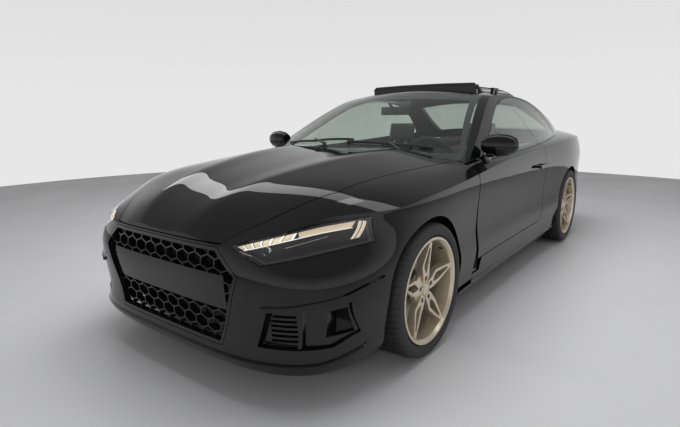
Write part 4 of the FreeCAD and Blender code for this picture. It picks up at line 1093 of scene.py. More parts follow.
# %% Lug bolts, caps and valves
BOLT_CIRCLE = 0.056
BOLT = [(0.066, 0.0105), (0.078, 0.0105), (0.080, 0.0085), (0.091, 0.0085), (0.0925, 0.007), (0.0925, 0.0)]
CAP = [
    (0.0945, 0.0), (0.0985, 0.0), (0.0985, 0.019), (0.0975, 0.0215), (0.0968, 0.0225), (0.0968, 0.0245),
    (0.0978, 0.0255), (0.0972, 0.0285), (0.0945, 0.0295),
]
VALVE = [
    (0.088, 0.0), (0.088, 0.0035), (0.098, 0.0035), (0.099, 0.0045), (0.112, 0.0045), (0.1135, 0.003),
    (0.1135, 0.0),
]
VALVE_RADIUS, VALVE_TURN = 0.222, math.radians(36)
valve_place = (0, VALVE_RADIUS * math.sin(VALVE_TURN), VALVE_RADIUS * math.cos(VALVE_TURN))
for corner, sign, hub in CORNERS:
    wheel, placing = "wheel_" + corner, {"side": sign, "shift": hub}
    bolt = lathe(BOLT, (0, 0, BOLT_CIRCLE), sides=6)
    bolts = grown("lug_bolts_" + corner, bolt, ROUND_AXLE, {"Count": 5, "Finish": CAST_METAL})
    settled(bolts, wheel, "cast", CAST_METAL, sharp=25, **placing)
    new_piece("hub_cap_" + corner, lathe(CAP, sides=48), wheel, "bronze", BRONZE, **placing)
    valve = lathe(VALVE, valve_place, sides=10)
    new_piece("valve_" + corner, valve, wheel, "matte_black", RUBBER_SEAL, **placing)
print("bolts, caps and valves on", len(CORNERS), "wheels")

# %% Brake discs with turned rings and a groove round the edge
DISC_FACE = [(0.0002, 0.090)] + [
    (-0.0006 + 0.0004 * (k % 2), 0.094 + 0.0026 * k) for k in range(29)
] + [(0.001, 0.1715), (0.0014, 0.172)]
DISC_EDGE = [(0.0095, 0.172), (0.0095, 0.164), (0.0185, 0.164), (0.0185, 0.172)]
DISC_THICK = 0.028
DISC_HAT = [
    (0.030, 0.089), (0.0565, 0.088), (0.0577, 0.086), (0.0577, 0.030), (0.0577, 0.021), (0.0505, 0.021),
    (0.0505, 0.083), (0.021, 0.083), (0.0202, 0.089),
]
inner_face = [(x - 0.0002, r) for x, r in DISC_FACE]
outer_face = [(DISC_THICK - x, r) for x, r in reversed(DISC_FACE)]
disc_profile = inner_face + DISC_EDGE + outer_face + DISC_HAT + inner_face[:1]
for corner, sign, hub in CORNERS:
    disc = new_piece("turned_disc_" + corner, lathe(disc_profile, sides=72), "wheel_" + corner, "disc",
                     TURNED_STEEL, side=sign, sharp=50, shift=hub)
    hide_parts("brake_disc_" + corner)
print("discs:", len(CORNERS))

# %% Axles, hub carriers and calipers with rounded cast edges
for name in ("front_axle", "rear_axle", "knuckle_left", "knuckle_right"):
    edge_broken(name, 0.003, CAST_METAL)
print("running gear edged")

# %% [markdown]
# ## Headlamps
# Each lamp is a dark bowl behind a clear cover. Along its top runs a light guide, gold when it is off: six
# slanted blocks at the inner end, one long block, and two blocks that turn down at the outer end. Below it
# sit a round lens with a bright ring and two thin bright blades. We find the places by shooting rays
# through the solid model's lamp cover from the front, and then step back behind it.

# %% Places behind the lamp cover
BEHIND_COVER = Vector((-5, 6, -2)).normalized()
FORWARDS = Vector((0, -1, 0))
BLOCK_THICK = 0.003
BLOCK_SWELL = 0.0012
BLOCK_ACROSS = (0.0, 0.2, 0.5, 0.8, 1.0)


def tree_of(name):
    """A search tree over a node's triangles."""
    mesh = nodes[name].data
    return BVHTree.FromPolygons([v.co for v in mesh.vertices], [p.vertices[:] for p in mesh.polygons])


def from_front(tree, x, z, aim=1):
    """First point of a shape on a ray along the car, from the front (aim 1) or rear (aim -1), in metres.
    Where the ray passes over the shape, it is lowered a little at a time."""
    for lower in range(0, 60, 2):
        start = Vector((x * MM, -3.0 * aim, (z - lower) * MM))
        place, direction, _, _ = tree.ray_cast(start, Vector((0, aim, 0)))
        if place:
            return place, direction
    raise ValueError("nothing of the shape near " + str((x, z)))


def along(line, share):
    """The point at a share of a line's length."""
    line = np.array(line, float)
    steps = np.concatenate([[0], np.cumsum(np.linalg.norm(np.diff(line, axis=0), axis=1))])
    return np.array([np.interp(share * steps[-1], steps, line[:, k]) for k in range(line.shape[1])])


def resampled(line, count):
    return np.array([along(line, share) for share in np.linspace(0, 1, count)])


def guide_block(tree, first, second, shares, depth, slant=0.0, aim=1, inwards=BEHIND_COVER):
    """A block of light guide between two edge lines, as a closed grid that follows the cover."""
    count, wide = max(3, int(40 * (shares[1] - shares[0]))), len(BLOCK_ACROSS)
    front = []
    for share in (shares[0] + (shares[1] - shares[0]) * i / (count - 1) for i in range(count)):
        top, bottom = along(first, share), along(second, max(0.0, share - slant))
        for w in BLOCK_ACROSS:
            hit, _ = from_front(tree, *(top * (1 - w) + bottom * w), aim)
            front.append(hit + inwards * (depth - BLOCK_SWELL * (1 - (2 * w - 1) ** 4)))
    total = count * wide
    faces = []
    for i in range(count - 1):
        for j in range(wide - 1):
            a = i * wide + j
            corners = (a, a + 1, a + wide + 1, a + wide)
            faces += [corners, tuple(total + k for k in reversed(corners))]
    rim = [i * wide for i in range(count)] + [(count - 1) * wide + j for j in range(1, wide)]
    rim += [i * wide + wide - 1 for i in reversed(range(count - 1))] + list(reversed(range(1, wide - 1)))
    faces += [(a, b, b + total, a + total) for a, b in zip(rim, rim[1:] + rim[:1])]
    return front + [p + inwards * BLOCK_THICK for p in front], faces


print("lamp cover depth step", [round(c, 2) for c in BEHIND_COVER])

# %% Light guides, blades and the round lens of each headlamp
GUIDE_TOP = [(474, 664), (540, 684), (620, 706), (700, 727), (788, 742)]
GUIDE_BOTTOM = [(506, 655), (545, 664), (620, 685), (700, 704), (778, 717)]
LEG_LINES = [
    ([(791, 741), (789, 712), (783, 672)], [(800, 742), (797, 712), (791, 673)]),
    ([(803, 741), (800, 712), (794, 674)], [(811, 737), (809, 712), (803, 676)]),
]
BLOCKS = 6
FIRST_LONG = 0.56
GOLD_DEPTH, WHITE_DEPTH, BLADE_DEPTH, LENS_DEPTH = 0.0115, 0.0095, 0.016, 0.026
ROUND_LENS = (590, 655)
LENS_DOME = [(-0.004, 0.0), (-0.003, 0.007), (0.0, 0.0125), (0.006, 0.0155), (0.012, 0.0155), (0.012, 0.0)]
LENS_RING = [
    (-0.003, 0.0175), (-0.005, 0.019), (-0.003, 0.0205), (0.006, 0.0205), (0.006, 0.0172), (-0.003, 0.0175),
]
BLADES = [[(492, 650), (520, 641), (546, 637)], [(640, 664), (680, 676), (722, 690)]]
cover = tree_of("headlamps")
gold, white = [], []
for k in range(BLOCKS):
    start, end = FIRST_LONG * k / BLOCKS, FIRST_LONG * (k + 1) / BLOCKS
    for blocks, ends, depth in (
        (gold, (start + 0.004, end - 0.026), GOLD_DEPTH), (white, (end - 0.024, end - 0.004), WHITE_DEPTH),
    ):
        blocks.append(guide_block(cover, GUIDE_TOP, GUIDE_BOTTOM, ends, depth, slant=0.03))
gold.append(guide_block(cover, GUIDE_TOP, GUIDE_BOTTOM, (FIRST_LONG + 0.004, 0.985), GOLD_DEPTH))
lower_line = resampled(GUIDE_BOTTOM, 12)
white.append(guide_block(cover, lower_line, lower_line - (0, 3.2), (0, 1), WHITE_DEPTH))
for outer_line, inner_line in LEG_LINES:
    gold.append(guide_block(cover, outer_line, inner_line, (0, 1), GOLD_DEPTH))
    white.append(guide_block(cover, outer_line, np.array(outer_line) + (1.6, 0), (0, 1), WHITE_DEPTH))
lens_place = from_front(cover, *ROUND_LENS)[0] + BEHIND_COVER * LENS_DEPTH
blades = []
for line in BLADES:
    path = [from_front(cover, *place)[0] + BEHIND_COVER * BLADE_DEPTH for place in resampled(line, 8)]
    blades.append(swept(path, oval(0.006, 0.0016, 8)))
# The gold and white guide pieces carry the painted glow of their finishes; the lamps themselves are off.
lamp_pieces = {
    "gold_guides_": (gold, LAMP_GOLD), "bright_guides_": (white, LAMP_WHITE),
    "round_lens_": (lathe(LENS_DOME, lens_place, "Y", 32), SCREEN),
    "lens_ring_": (lathe(LENS_RING, lens_place, "Y", 40), CHROME), "lamp_blades_": (blades, CHROME),
}
for side, sign in SIDES:
    for name, (shapes, material) in lamp_pieces.items():
        new_piece(name + side, shapes, "body", "lamp_inner", material, side=sign)
print("headlamp blocks:", BLOCKS + 3, "a side")

# %% Tail lamps: red guides with a faint painted glow on the dark red covers
TAIL_GUIDES = [
    ([(590, 884), (700, 880), (806, 868)], [(590, 872), (700, 868), (800, 857)]),
    ([(590, 772), (700, 768), (800, 768)], [(590, 760), (700, 756), (804, 757)]),
    ([(806, 852), (800, 812), (796, 776)], [(817, 850), (811, 812), (807, 774)]),
    ([(590, 836), (680, 834), (780, 830)], [(590, 831), (680, 829), (780, 825)]),
    ([(590, 802), (680, 800), (780, 798)], [(590, 797), (680, 795), (780, 793)]),
]
tail = tree_of("tail_lamps")
tail_blocks = [guide_block(tail, *lines, (0, 1), -0.0008, aim=-1, inwards=FORWARDS) for lines in TAIL_GUIDES]
for side, sign in SIDES:
    new_piece("tail_guides_" + side, tail_blocks, "body", "tail_lens", RED_CORE, side=sign)
print("tail guides:", len(TAIL_GUIDES), "a side")

# %% [markdown]
# ## Grille, intakes and sensors
# The honeycomb and the slotted corner intakes are in the solid model, because they are what one recognises
# the front by. Here their edges are broken by about a millimetre, so that each cell wall draws a thin
# bright line. Round parking sensors sit flush in the bumpers, and two red reflectors in the rear one.

# %% Broken edges on the grille and the corner intakes, then parking sensors and red reflectors
edge_broken("grille", 0.0009, GLOSS_BLACK, segments=1)
edge_broken("bumper_grilles", 0.0012, GLOSS_BLACK, segments=1)
SENSOR = [
    (0.001, 0.0), (0.0012, 0.006), (0.0006, 0.0072), (-0.001, 0.0076), (0.0008, 0.0088), (-0.0004, 0.0105),
    (-0.006, 0.0105), (-0.006, 0.0),
]
FRONT_SPOTS, REAR_SPOTS = [(535, 480), (760, 540)], [(380, 500), (720, 520)]
REFLECTOR = [(600, 362), (700, 362), (770, 366)], [(600, 344), (700, 344), (766, 348)]


def both_sides(shape):
    """A shape and its mirror image."""
    return [shape, ([(-x, y, z) for x, y, z in shape[0]], shape[1])]


front_bumper, rear_bumper = tree_of("front_bumper"), tree_of("rear_bumper")
for name, tree, aim, spots in (
    ("front_sensors", front_bumper, 1, FRONT_SPOTS), ("rear_sensors", rear_bumper, -1, REAR_SPOTS),
):
    shapes = []
    for x, z in spots:
        hit, direction = from_front(tree, x, z, aim)
        points, faces = lathe([(-a, r) for a, r in SENSOR], axis="Z", sides=24)
        turn = Vector((0, 0, -1)).rotation_difference(direction).to_matrix()
        shapes += both_sides(([hit + turn @ Vector(p) for p in points], faces))
    new_piece(name, shapes, "body", "black_paint", GLOSS_BLACK)
reflector = guide_block(rear_bumper, *REFLECTOR, (0, 1), -0.001, aim=-1, inwards=FORWARDS)
new_piece("rear_reflectors", both_sides(reflector), "body", "tail_lens", RED_LENS)
print("sensors and reflectors fitted")

# %% [markdown]
# ## Fittings on the body
# Thin parts finish the big shapes: a sealing strip along each window sill, rubber round the side windows,
# the black border baked into the windscreen's edge, wipers at its foot, and the inside mirror behind its
# top. All of them follow the smooth surfaces, so their lines are found on those surfaces, not typed in as
# points.

# %% Lines on the smooth surfaces
TOP, ROOF, WINDOW_LEFT = SURFACES[1:4]
IN_CAR = (0, 0.1, 0.6)
SCREEN_END_Y = 0.1


def places_on(surface, wanted, axes, last_y=9.0):
    """Points of a surface where two coordinates have the wanted values (metres), with outward directions.
    The search starts in front of last_y, because the windscreen and the rear window share their heights."""
    wanted, axes = np.array(wanted, float), list(axes)
    coarse = surface.at(surface.grid)
    behind = np.where(coarse[:, 1] > last_y, 100.0, 0.0)
    coarse = coarse[:, axes]
    uv = surface.grid[[int(np.argmin(((coarse - w) ** 2).sum(1) + behind)) for w in wanted]].astype(float)
    for _ in range(12):
        here, a, b = surface.frame_at(uv)
        off, a, b = wanted - here[:, axes], a[:, axes], b[:, axes]
        det = a[:, 0] * b[:, 1] - a[:, 1] * b[:, 0]
        det = np.where(abs(det) < 1e-12, 1e-12, det)
        du = (off[:, 0] * b[:, 1] - off[:, 1] * b[:, 0]) / det
        dv = (a[:, 0] * off[:, 1] - a[:, 1] * off[:, 0]) / det
        uv = np.clip(uv + np.clip(np.stack([du, dv], axis=1), -1, 1), 1e-4, surface.spans - 1e-4)
    here, a, b = surface.frame_at(uv)
    normal = np.cross(a, b)
    normal /= np.linalg.norm(normal, axis=1)[:, None]
    outwards = np.sign((normal * (here - np.array(IN_CAR))).sum(1))
    return here, normal * outwards[:, None]


def strip_between(first, second, normals, rise, thick):
    """A thin strip between two lines of points, raised by rise along the normals."""
    middle = first * 0.5 + second * 0.5 + normals * (rise + 0.0004)
    rows = [first + normals * rise, middle, second + normals * rise]
    rows += [row - normals * thick for row in reversed(rows)]
    return rings_joined(np.stack(rows, axis=1).reshape(-1, 3), len(rows))


print("line tools ready")

# %% Window sill strips on doors and quarter panels
SILL_STRIP = [(-0.005, -0.004), (0.005, -0.004), (0.0065, 0.0), (0.005, 0.005), (0.0, 0.007), (-0.005, 0.006)]
SILL_HEIGHT = 0.925
DOOR_SILL, QUARTER_SILL = (-585, 494), (512, 1318)


def sill_strip(start, end, count=40):
    """A strip where the side glass meets the shoulder, from y start to y end."""
    ys = np.linspace(start, end, count) * MM
    heights = np.full(count, SILL_HEIGHT)
    for _ in range(5):
        glass, _ = places_on(WINDOW_LEFT, np.stack([ys, heights], axis=1), (1, 2))
        shoulder, up = places_on(TOP, np.stack([glass[:, 0] + 0.006, ys], axis=1), (0, 1))
        heights = shoulder[:, 2]
    return swept(shoulder + up * 0.001, SILL_STRIP, up=up)


door_strip, quarter_strip = sill_strip(*DOOR_SILL), sill_strip(*QUARTER_SILL)
for side, sign in SIDES:
    placing = {"side": sign, "sharp": 50}
    new_piece("sill_strip_door_" + side, door_strip, "door_" + side, "gloss_black", GLOSS_BLACK, **placing)
    new_piece("sill_strip_body_" + side, quarter_strip, "body", "gloss_black", GLOSS_BLACK, **placing)
print("sill strips: 4")

# %% Rubber round the side windows
WINDOW_TOP = [
    (-640, 921), (-420, 1043), (-200, 1157), (-40, 1228), (110, 1271), (260, 1290), (430, 1296), (620, 1289),
    (800, 1265), (960, 1221), (1120, 1151), (1270, 1063), (1350, 1003),
]
places, outwards = places_on(WINDOW_LEFT, resampled(WINDOW_TOP, 60) * MM, (1, 2))
rubber = swept(places - outwards * 0.003, oval(0.0042, 0.0042, 8), up=outwards)
for side, sign in SIDES:
    new_piece("window_rubber_" + side, rubber, "body", "matte_black", RUBBER_SEAL, side=sign)
print("window rubbers: 2")

# %% The windscreen's black border
def both_halves(half):
    """A line whose half from the right to the middle is given."""
    return half + [(-x, z) for x, z in reversed(half[:-1])]


SCREEN_EDGE = both_halves([(-772, 918), (-680, 1082), (-560, 1300), (-300, 1320), (0, 1324)])
SCREEN_INNER = both_halves([(-735, 948), (-655, 1072), (-538, 1268), (-300, 1286), (0, 1289)])
SCREEN_FOOT, FOOT_INNER = [(-772, 912), (772, 912)], [(-740, 950), (740, 950)]
UNDER_GLASS = -0.0072
for name, outer, inner, count in (
    ("screen_border", SCREEN_EDGE, SCREEN_INNER, 90), ("screen_border_foot", SCREEN_FOOT, FOOT_INNER, 50),
):
    outer_places, out = places_on(ROOF, resampled(outer, count) * MM, (0, 2), SCREEN_END_Y)
    inner_places, _ = places_on(ROOF, resampled(inner, count) * MM, (0, 2), SCREEN_END_Y)
    border = strip_between(outer_places, inner_places, out, UNDER_GLASS, 0.0008)
    new_piece(name, border, "body", "matte_black", MATTE_BLACK)
print("windscreen border")

# %% Inside mirror, on a short stem behind the windscreen's top
MIRROR_HALF = (0.115, 0.022, 0.030)
on_glass, glass_out = places_on(ROOF, [(0.0, 1.262)], (0, 2), SCREEN_END_Y)
stem_top = on_glass[0] - glass_out[0] * 0.010
middle = stem_top + (0.0, 0.075, -0.055)
new_piece("inside_mirror", [
    swept([stem_top, middle], oval(0.010, 0.010, 16), up=(1, 0, 0)),
    block(middle - (0.115, 0.004, 0.030), middle + MIRROR_HALF, 0.012),
], "body", "matte_black", MATTE_BLACK)
print("inside mirror at", [round(float(v), 3) for v in middle])

# %% Wipers
# Each wiper: the line of its blade and the pivot of its arm, as (x, y)
WIPERS = [
    ([(600, -862), (380, -948), (60, -1000)], (470, -1010)),
    ([(90, -968), (-240, -975), (-520, -905)], (-90, -1040)),
]
LIP = [(-0.0012, -0.0045), (0.0012, -0.0045), (0.003, 0.003), (-0.003, 0.003)]
BLADE_BACK = [(-0.008, -0.003), (0.008, -0.003), (0.004, 0.004), (-0.001, 0.005)]
ARM = [(-0.007, -0.003), (0.007, -0.003), (0.005, 0.005), (-0.005, 0.005)]
PIVOT = [(-0.016, 0.0), (-0.016, 0.014), (0.004, 0.012), (0.009, 0.006), (0.009, 0.0)]
shapes = []
for line, pivot in WIPERS:
    blade, up = places_on(ROOF, resampled(line, 24) * MM, (0, 1))
    shapes += [swept(blade + up * 0.0045, LIP, up=up), swept(blade + up * 0.0105, BLADE_BACK, up=up)]
    arm, up = places_on(ROOF, resampled([pivot, along(line, 0.5)], 10) * MM, (0, 1))
    shapes.append(swept(arm + up * np.linspace(0.016, 0.019, 10)[:, None], ARM, up=up))
    shapes.append(lathe(PIVOT, arm[0] + up[0] * 0.018, "Z", 20))
new_piece("wipers", shapes, "body", "matte_black", MATTE_BLACK)
print("wipers:", len(WIPERS))

# %% [markdown]
# ## Door mirrors
# The solid mirror is a lofted case. We loft the same oval sections again with many more points, cut the
# rear flat, and sink a silvered glass into it. A thin frame of rubber closes the glass's edge, and a slim
# indicator runs round the front.

# %% Loft the mirror cases
# The case's sections in millimetres: their x, half depths and half heights
SECTION_X = (812, 842, 900, 960, 1000, 1012, 1014)
SECTION_DEPTHS, SECTION_HEIGHTS = (44, 58, 64, 60, 40, 18, 2), (40, 58, 68, 62, 42, 19, 2)
MIRROR_ROOT, MIRROR_TURNS_IN, MIRROR_TIP = 812, 1000, 14
MIRROR_Y, MIRROR_Z, MIRROR_REAR_Y = -636, 985, -592
SWEEP_BACK = 0.14
GLASS_MIDDLE, GLASS_HALF, GLASS_CORNERS = (0.912, 0.985), (0.076, 0.046), 0.7
CASE_SIDES, GLASS_SIDES = 40, 40
STALK = [(0.842, -0.648, 0.925), (0.868, -0.646, 0.930), (0.893, -0.642, 0.940), (0.905, -0.640, 0.955)]


def squared(value, power):
    """A cosine or sine made fuller, so that an ellipse comes near a rounded rectangle."""
    return math.copysign(abs(value) ** power, value)


def section_at(x):
    """Half depth and half height of the case, and its middle's y."""
    deep, tall = np.interp(x, SECTION_X, SECTION_DEPTHS), np.interp(x, SECTION_X, SECTION_HEIGHTS)
    return deep, tall, MIRROR_Y + (x - MIRROR_ROOT) * SWEEP_BACK


def mirror_case():
    """One case, with ovals a little squarer than ellipses."""
    points = []
    tip = MIRROR_TURNS_IN + MIRROR_TIP * np.sin(np.linspace(0.2, math.pi / 2, 8))
    for x in [*np.linspace(MIRROR_ROOT, MIRROR_TURNS_IN, 22), *tip]:
        deep, tall, middle_y = section_at(x)
        for k in range(CASE_SIDES):
            angle = 2 * math.pi * k / CASE_SIDES
            y = middle_y + deep * squared(math.cos(angle), 0.9)
            points.append((x, min(y, MIRROR_REAR_Y), MIRROR_Z + tall * squared(math.sin(angle), 0.9)))
    return rings_joined(np.array(points) * MM, CASE_SIDES)


rim = [(
    GLASS_MIDDLE[0] + GLASS_HALF[0] * squared(math.cos(t), GLASS_CORNERS), MIRROR_REAR_Y * MM + 0.0006,
    GLASS_MIDDLE[1] + GLASS_HALF[1] * squared(math.sin(t), GLASS_CORNERS),
) for t in np.linspace(0, 2 * math.pi, GLASS_SIDES + 1)[:-1]]
glass = rings_joined(rim + [(x, y - 0.002, z) for x, y, z in rim], GLASS_SIDES)
foot = block((0.826, -0.690, 0.884), (0.854, -0.608, 0.930), 0.004)
case = [mirror_case(), foot, swept(STALK, oval(0.026, 0.016, 16))]
frame_line = swept(rim, oval(0.003, 0.003, 8), up=(0, 1, 0), closed=True)
light_line = []
for x in np.linspace(835, 1006, 24):
    deep, _, middle_y = section_at(x)
    light_line.append((x, middle_y - deep * 0.985, MIRROR_Z - 4))
mirror_pieces = {
    "mirror_glass_": (glass, "glass", MIRROR_GLASS),
    "mirror_frame_": (frame_line, "matte_black", RUBBER_SEAL),
    "mirror_indicator_": (swept(np.array(light_line) * MM, oval(0.0014, 0.0035, 8)), "lamp_inner", LAMP_DARK),
}
for side, sign in SIDES:
    piece = new_piece("mirror_case_" + side, case, "door_" + side, "gloss_black", PAINT, side=sign, sharp=40)
    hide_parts("mirror_" + side)
    for name, (shape, slot, material) in mirror_pieces.items():
        new_piece(name + side, shape, "door_" + side, slot, material, side=sign)
print("mirrors: 2")

# %% [markdown]
# ## Seats
# The two front seats and the rear bench are upholstered in smooth black leather. A seat could be a block
# with rounded edges, but stuffing pushes leather out between its seams, so each cushion is a closed crowned
# form: its height falls away towards every edge, its sides pull in between the corners, and the sewn lines
# press shallow channels into it. Bolsters rise on both sides. A piping cord follows the outer seam, and
# rows of stitches, set out by Geometry Nodes, run beside the channels.

# %% Cushion form
PINCH = 0.035
CORNER_PULL = 0.05
BOLSTER_START, BOLSTER_WIDE = 0.60, 0.22
SEAM_DEPTH, SEAM_WIDE = 0.10, 0.022
CHANNEL_DEPTH, CHANNEL_WIDE, CHANNEL_END = 0.075, 0.028, 0.62


def crowned(a, b, power, fullness):
    """1 in the middle of a cushion, falling to 0 at its border."""
    return np.clip((1 - abs(a) ** power) * (1 - abs(b) ** power), 0, 1) ** fullness


def cushion_height(a, b, channels, seams, bolster):
    """Height of the upper side, from 0 at the border to about 1, at places a and b between -1 and 1."""
    border = crowned(a, b, 5, 0.36)
    height = border * (0.80 + 0.14 * (1 - b ** 2) + 0.06 * (1 - a ** 2))
    side = np.clip((abs(a) - BOLSTER_START) / BOLSTER_WIDE, 0, 1)
    height += bolster * border * side * side * (3 - 2 * side) - bolster * 0.7 * border
    for place in seams:
        height -= SEAM_DEPTH * border * np.exp(-((abs(a) - place) / SEAM_WIDE) ** 2)
    for place in channels:
        inner = np.clip((CHANNEL_END - abs(a)) / 0.04, 0, 1)
        height -= CHANNEL_DEPTH * border * inner * np.exp(-((b - place) / CHANNEL_WIDE) ** 2)
    return height


def cushion_point(a, b, half, height):
    """A place on the cushion in its own frame, metres."""
    x = a * half[0] * (1 - PINCH * (1 - b ** 2) * abs(a) - CORNER_PULL * b ** 8 * abs(a))
    y = b * half[1] * (1 - PINCH * (1 - a ** 2) * abs(b) - CORNER_PULL * a ** 8 * abs(b))
    return np.stack([x, y, height * half[2]], axis=-1)


def cushion(half, channels=(), seams=(), bolster=0.0, count=56):
    """A closed crowned form in the cushion's own frame."""
    steps = np.sin(np.linspace(-math.pi / 2, math.pi / 2, count))
    a, b = np.meshgrid(steps, steps, indexing="ij")
    upper = cushion_point(a, b, half, cushion_height(a, b, channels, seams, bolster)).reshape(-1, 3)
    lower = cushion_point(a, b, half, -crowned(a, b, 6, 0.34) * 0.96).reshape(-1, 3)
    faces = []
    for i in range(count - 1):
        for j in range(count - 1):
            k = i * count + j
            faces.append((k, k + count, k + count + 1, k + 1))
            faces.append(tuple(len(upper) + n for n in (k, k + 1, k + count + 1, k + count)))
    return merged(np.concatenate([upper, lower]), faces)


def cushion_border(half):
    """The line of a cushion's outer seam, in its own frame."""
    steps = np.linspace(-1, 1, 40)[:-1]
    ring = [(t, -1.0) for t in steps] + [(1.0, t) for t in steps]
    ring = np.array(ring + [(-a, -b) for a, b in ring])
    return cushion_point(ring[:, 0], ring[:, 1], half, np.zeros(len(ring)))


def placed(points, centre, lean):
    """Points leaned back by lean degrees about the X axis and moved to their centre, metres."""
    c, s = math.cos(math.radians(lean)), math.sin(math.radians(lean))
    p = np.array(points, float)
    leaned = np.stack([p[:, 0], p[:, 1] * c - p[:, 2] * s, p[:, 1] * s + p[:, 2] * c], axis=1)
    return leaned + np.array(centre)


print("cushion tools ready")

# %% Upholstery: a cushion, its piping and its stitches
PIPING = oval(0.0034, 0.0034, 8)
PIPING_OUT = 1.004
STITCH_COUNT, STITCH_REACH, STITCH_BESIDE, STITCH_RISE = 36, 0.86, 0.035, 0.012
STITCH = {"Spacing": 0.0065, "Length": 0.0042, "Thickness": 0.0007, "Finish": THREAD}


def upholstered(name, place, half, lean, channels, seams, bolster):
    """A cushion with its piping and its stitches beside the seams, leaned and placed on the car."""
    points, faces = cushion(half, channels, seams, bolster)
    centre = tuple(c * MM for c in place)
    piece = new_piece(name, (placed(points, centre, lean), faces), "body", "leather", LEATHER, sharp=80)
    border = cushion_border(half)
    outward = placed(border, (0, 0, 0), lean)
    up = outward / np.linalg.norm(outward, axis=1)[:, None] * 0.3 + (0.1, 0.2, 0.9)
    cord = swept(placed(border * (PIPING_OUT, PIPING_OUT, 1), centre, lean), PIPING, up=up, closed=True)
    new_piece(name + "_piping", cord, "body", "leather", LEATHER, sharp=80)
    b = np.linspace(-STITCH_REACH, STITCH_REACH, STITCH_COUNT)
    for seam in seams:
        for letter, side in (("r", -1), ("l", 1)):
            a = np.full(STITCH_COUNT, side * (seam + STITCH_BESIDE))
            line = cushion_point(a, b, half, cushion_height(a, b, channels, seams, bolster) + STITCH_RISE)
            edges = [(i, i + 1) for i in range(STITCH_COUNT - 1)]
            row_name = f"{name}_stitches_{letter}{int(seam * 100)}"
            row = grown(row_name, (placed(line, centre, lean), []), ALONG_LINE, STITCH, edges)
            settled(row, "body", "leather", THREAD)
    return piece


print("upholstery ready")

# %% Front and rear seats
# Each cushion: x on the left, y and z in millimetres, half sizes in metres, lean in degrees, the places of
# the channels across it and of the seams along it, and how high its bolsters stand
FRONT_SEAT = {
    "seat_cushion_": ((370, -38, 366), (0.246, 0.276, 0.062), 3, (-0.45, -0.15, 0.15, 0.45), (0.62,), 0.22),
    "seat_back_": ((370, 292, 665), (0.228, 0.268, 0.056), 70, (-0.55, -0.25, 0.05, 0.35), (0.62,), 0.26),
    "seat_head_": ((370, 430, 1016), (0.122, 0.080, 0.044), 78, (), (0.72,), 0.08),
}
REAR_SEAT = {
    "rear_bench_": ((280, 916, 496), (0.268, 0.218, 0.052), 2, (-0.3, 0.2), (0.62,), 0.16),
    "rear_back_": ((280, 1225, 655), (0.268, 0.178, 0.046), 72, (-0.2, 0.3), (0.62,), 0.16),
    "rear_head_": ((290, 1300, 866), (0.116, 0.052, 0.036), 80, (), (), 0.0),
}
STANDS_FOR = {"seat_cushion_left": "front_seats", "rear_bench_left": "rear_seat"}


def beside(middle, away, half, y, z, edge):
    """Two blocks away on both sides of a middle, or one in it, in metres but for the first three."""
    return [
        block(((middle + d - half) * MM, y[0], z[0]), ((middle + d + half) * MM, y[1], z[1]), edge)
        for d in ((-away, away) if away else (0,))
    ]


for seat in (FRONT_SEAT, REAR_SEAT):
    for side, sign in SIDES:
        for name, ((x, y, z), *form) in seat.items():
            piece = upholstered(name + side, (x * sign, y, z), *form)
            if name + side in STANDS_FOR:
                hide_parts(STANDS_FOR[name + side])
for side, sign in SIDES:
    x = 370 * sign
    posts = [
        swept([((x + dx) * MM, 0.372, 0.885), ((x + dx) * MM, 0.398, 0.935), ((x + dx) * MM, 0.424, 0.985)],
              oval(0.006, 0.006, 12), up=(1, 0, 0)) for dx in (-60, 60)
    ]
    new_piece("head_posts_" + side, posts, "body", "steel", CHROME)
    rails = beside(x, 150, 26, (-0.235, 0.165), (0.192, 0.232), 0.004)
    pan = beside(x, 0, 178, (-0.215, 0.150), (0.233, 0.308), 0.012)
    covers = beside(x, 200, 9, (-0.225, 0.185), (0.240, 0.335), 0.008)
    new_piece("seat_base_" + side, rails + pan + covers, "body", "matte_black", MATTE_BLACK)
print("front seats 2, rear seats 2")

# %% [markdown]
# ## Dashboard, steering wheel and doors
# What shows through the windscreen is the top of the dashboard with the hood over the instruments, the
# screen that stands in the middle, the air vents, and the steering wheel with its thick leather rim. The
# dashboard's own solid keeps its place and gets rounded edges; the finer parts are set on it.

# %% Dashboard and console
edge_broken("dashboard", 0.008, MATTE_BLACK, sharp=25, segments=3)
HOOD = [(-0.075, -0.004), (0.075, -0.010), (0.078, 0.000), (-0.075, 0.008)]
SCREEN_FRAME = [(x, -0.708, z) for x, z in ((-0.129, 0.858), (0.129, 0.858), (0.129, 0.972), (-0.129, 0.972))]
VENTS = ((-0.60, -0.42), (-0.20, -0.03), (0.03, 0.17), (0.56, 0.66))
KNOB = [
    (-0.02, 0.0), (-0.02, 0.012), (0.03, 0.013), (0.05, 0.024), (0.075, 0.027), (0.092, 0.022), (0.098, 0.0),
]
TRIM_LINE = [(-0.66, -0.606, 0.752), (0.16, -0.606, 0.752)]
hood_line = [
    (0.370 + 0.175 * math.sin(t), -0.772, 0.888 + 0.045 * math.cos(t)) for t in np.linspace(-1.45, 1.45, 25)
]
slats = []
for start, end in VENTS:
    for k in range(4):
        y, z = -0.611 + 0.010 * k, 0.812 - 0.014 * k
        slats.append(block((start, y - 0.007, z - 0.0025), (end, y + 0.007, z + 0.0025), 0.001))
points, faces = cushion((0.098, 0.170, 0.032), (), (0.75,), 0.05, 30)
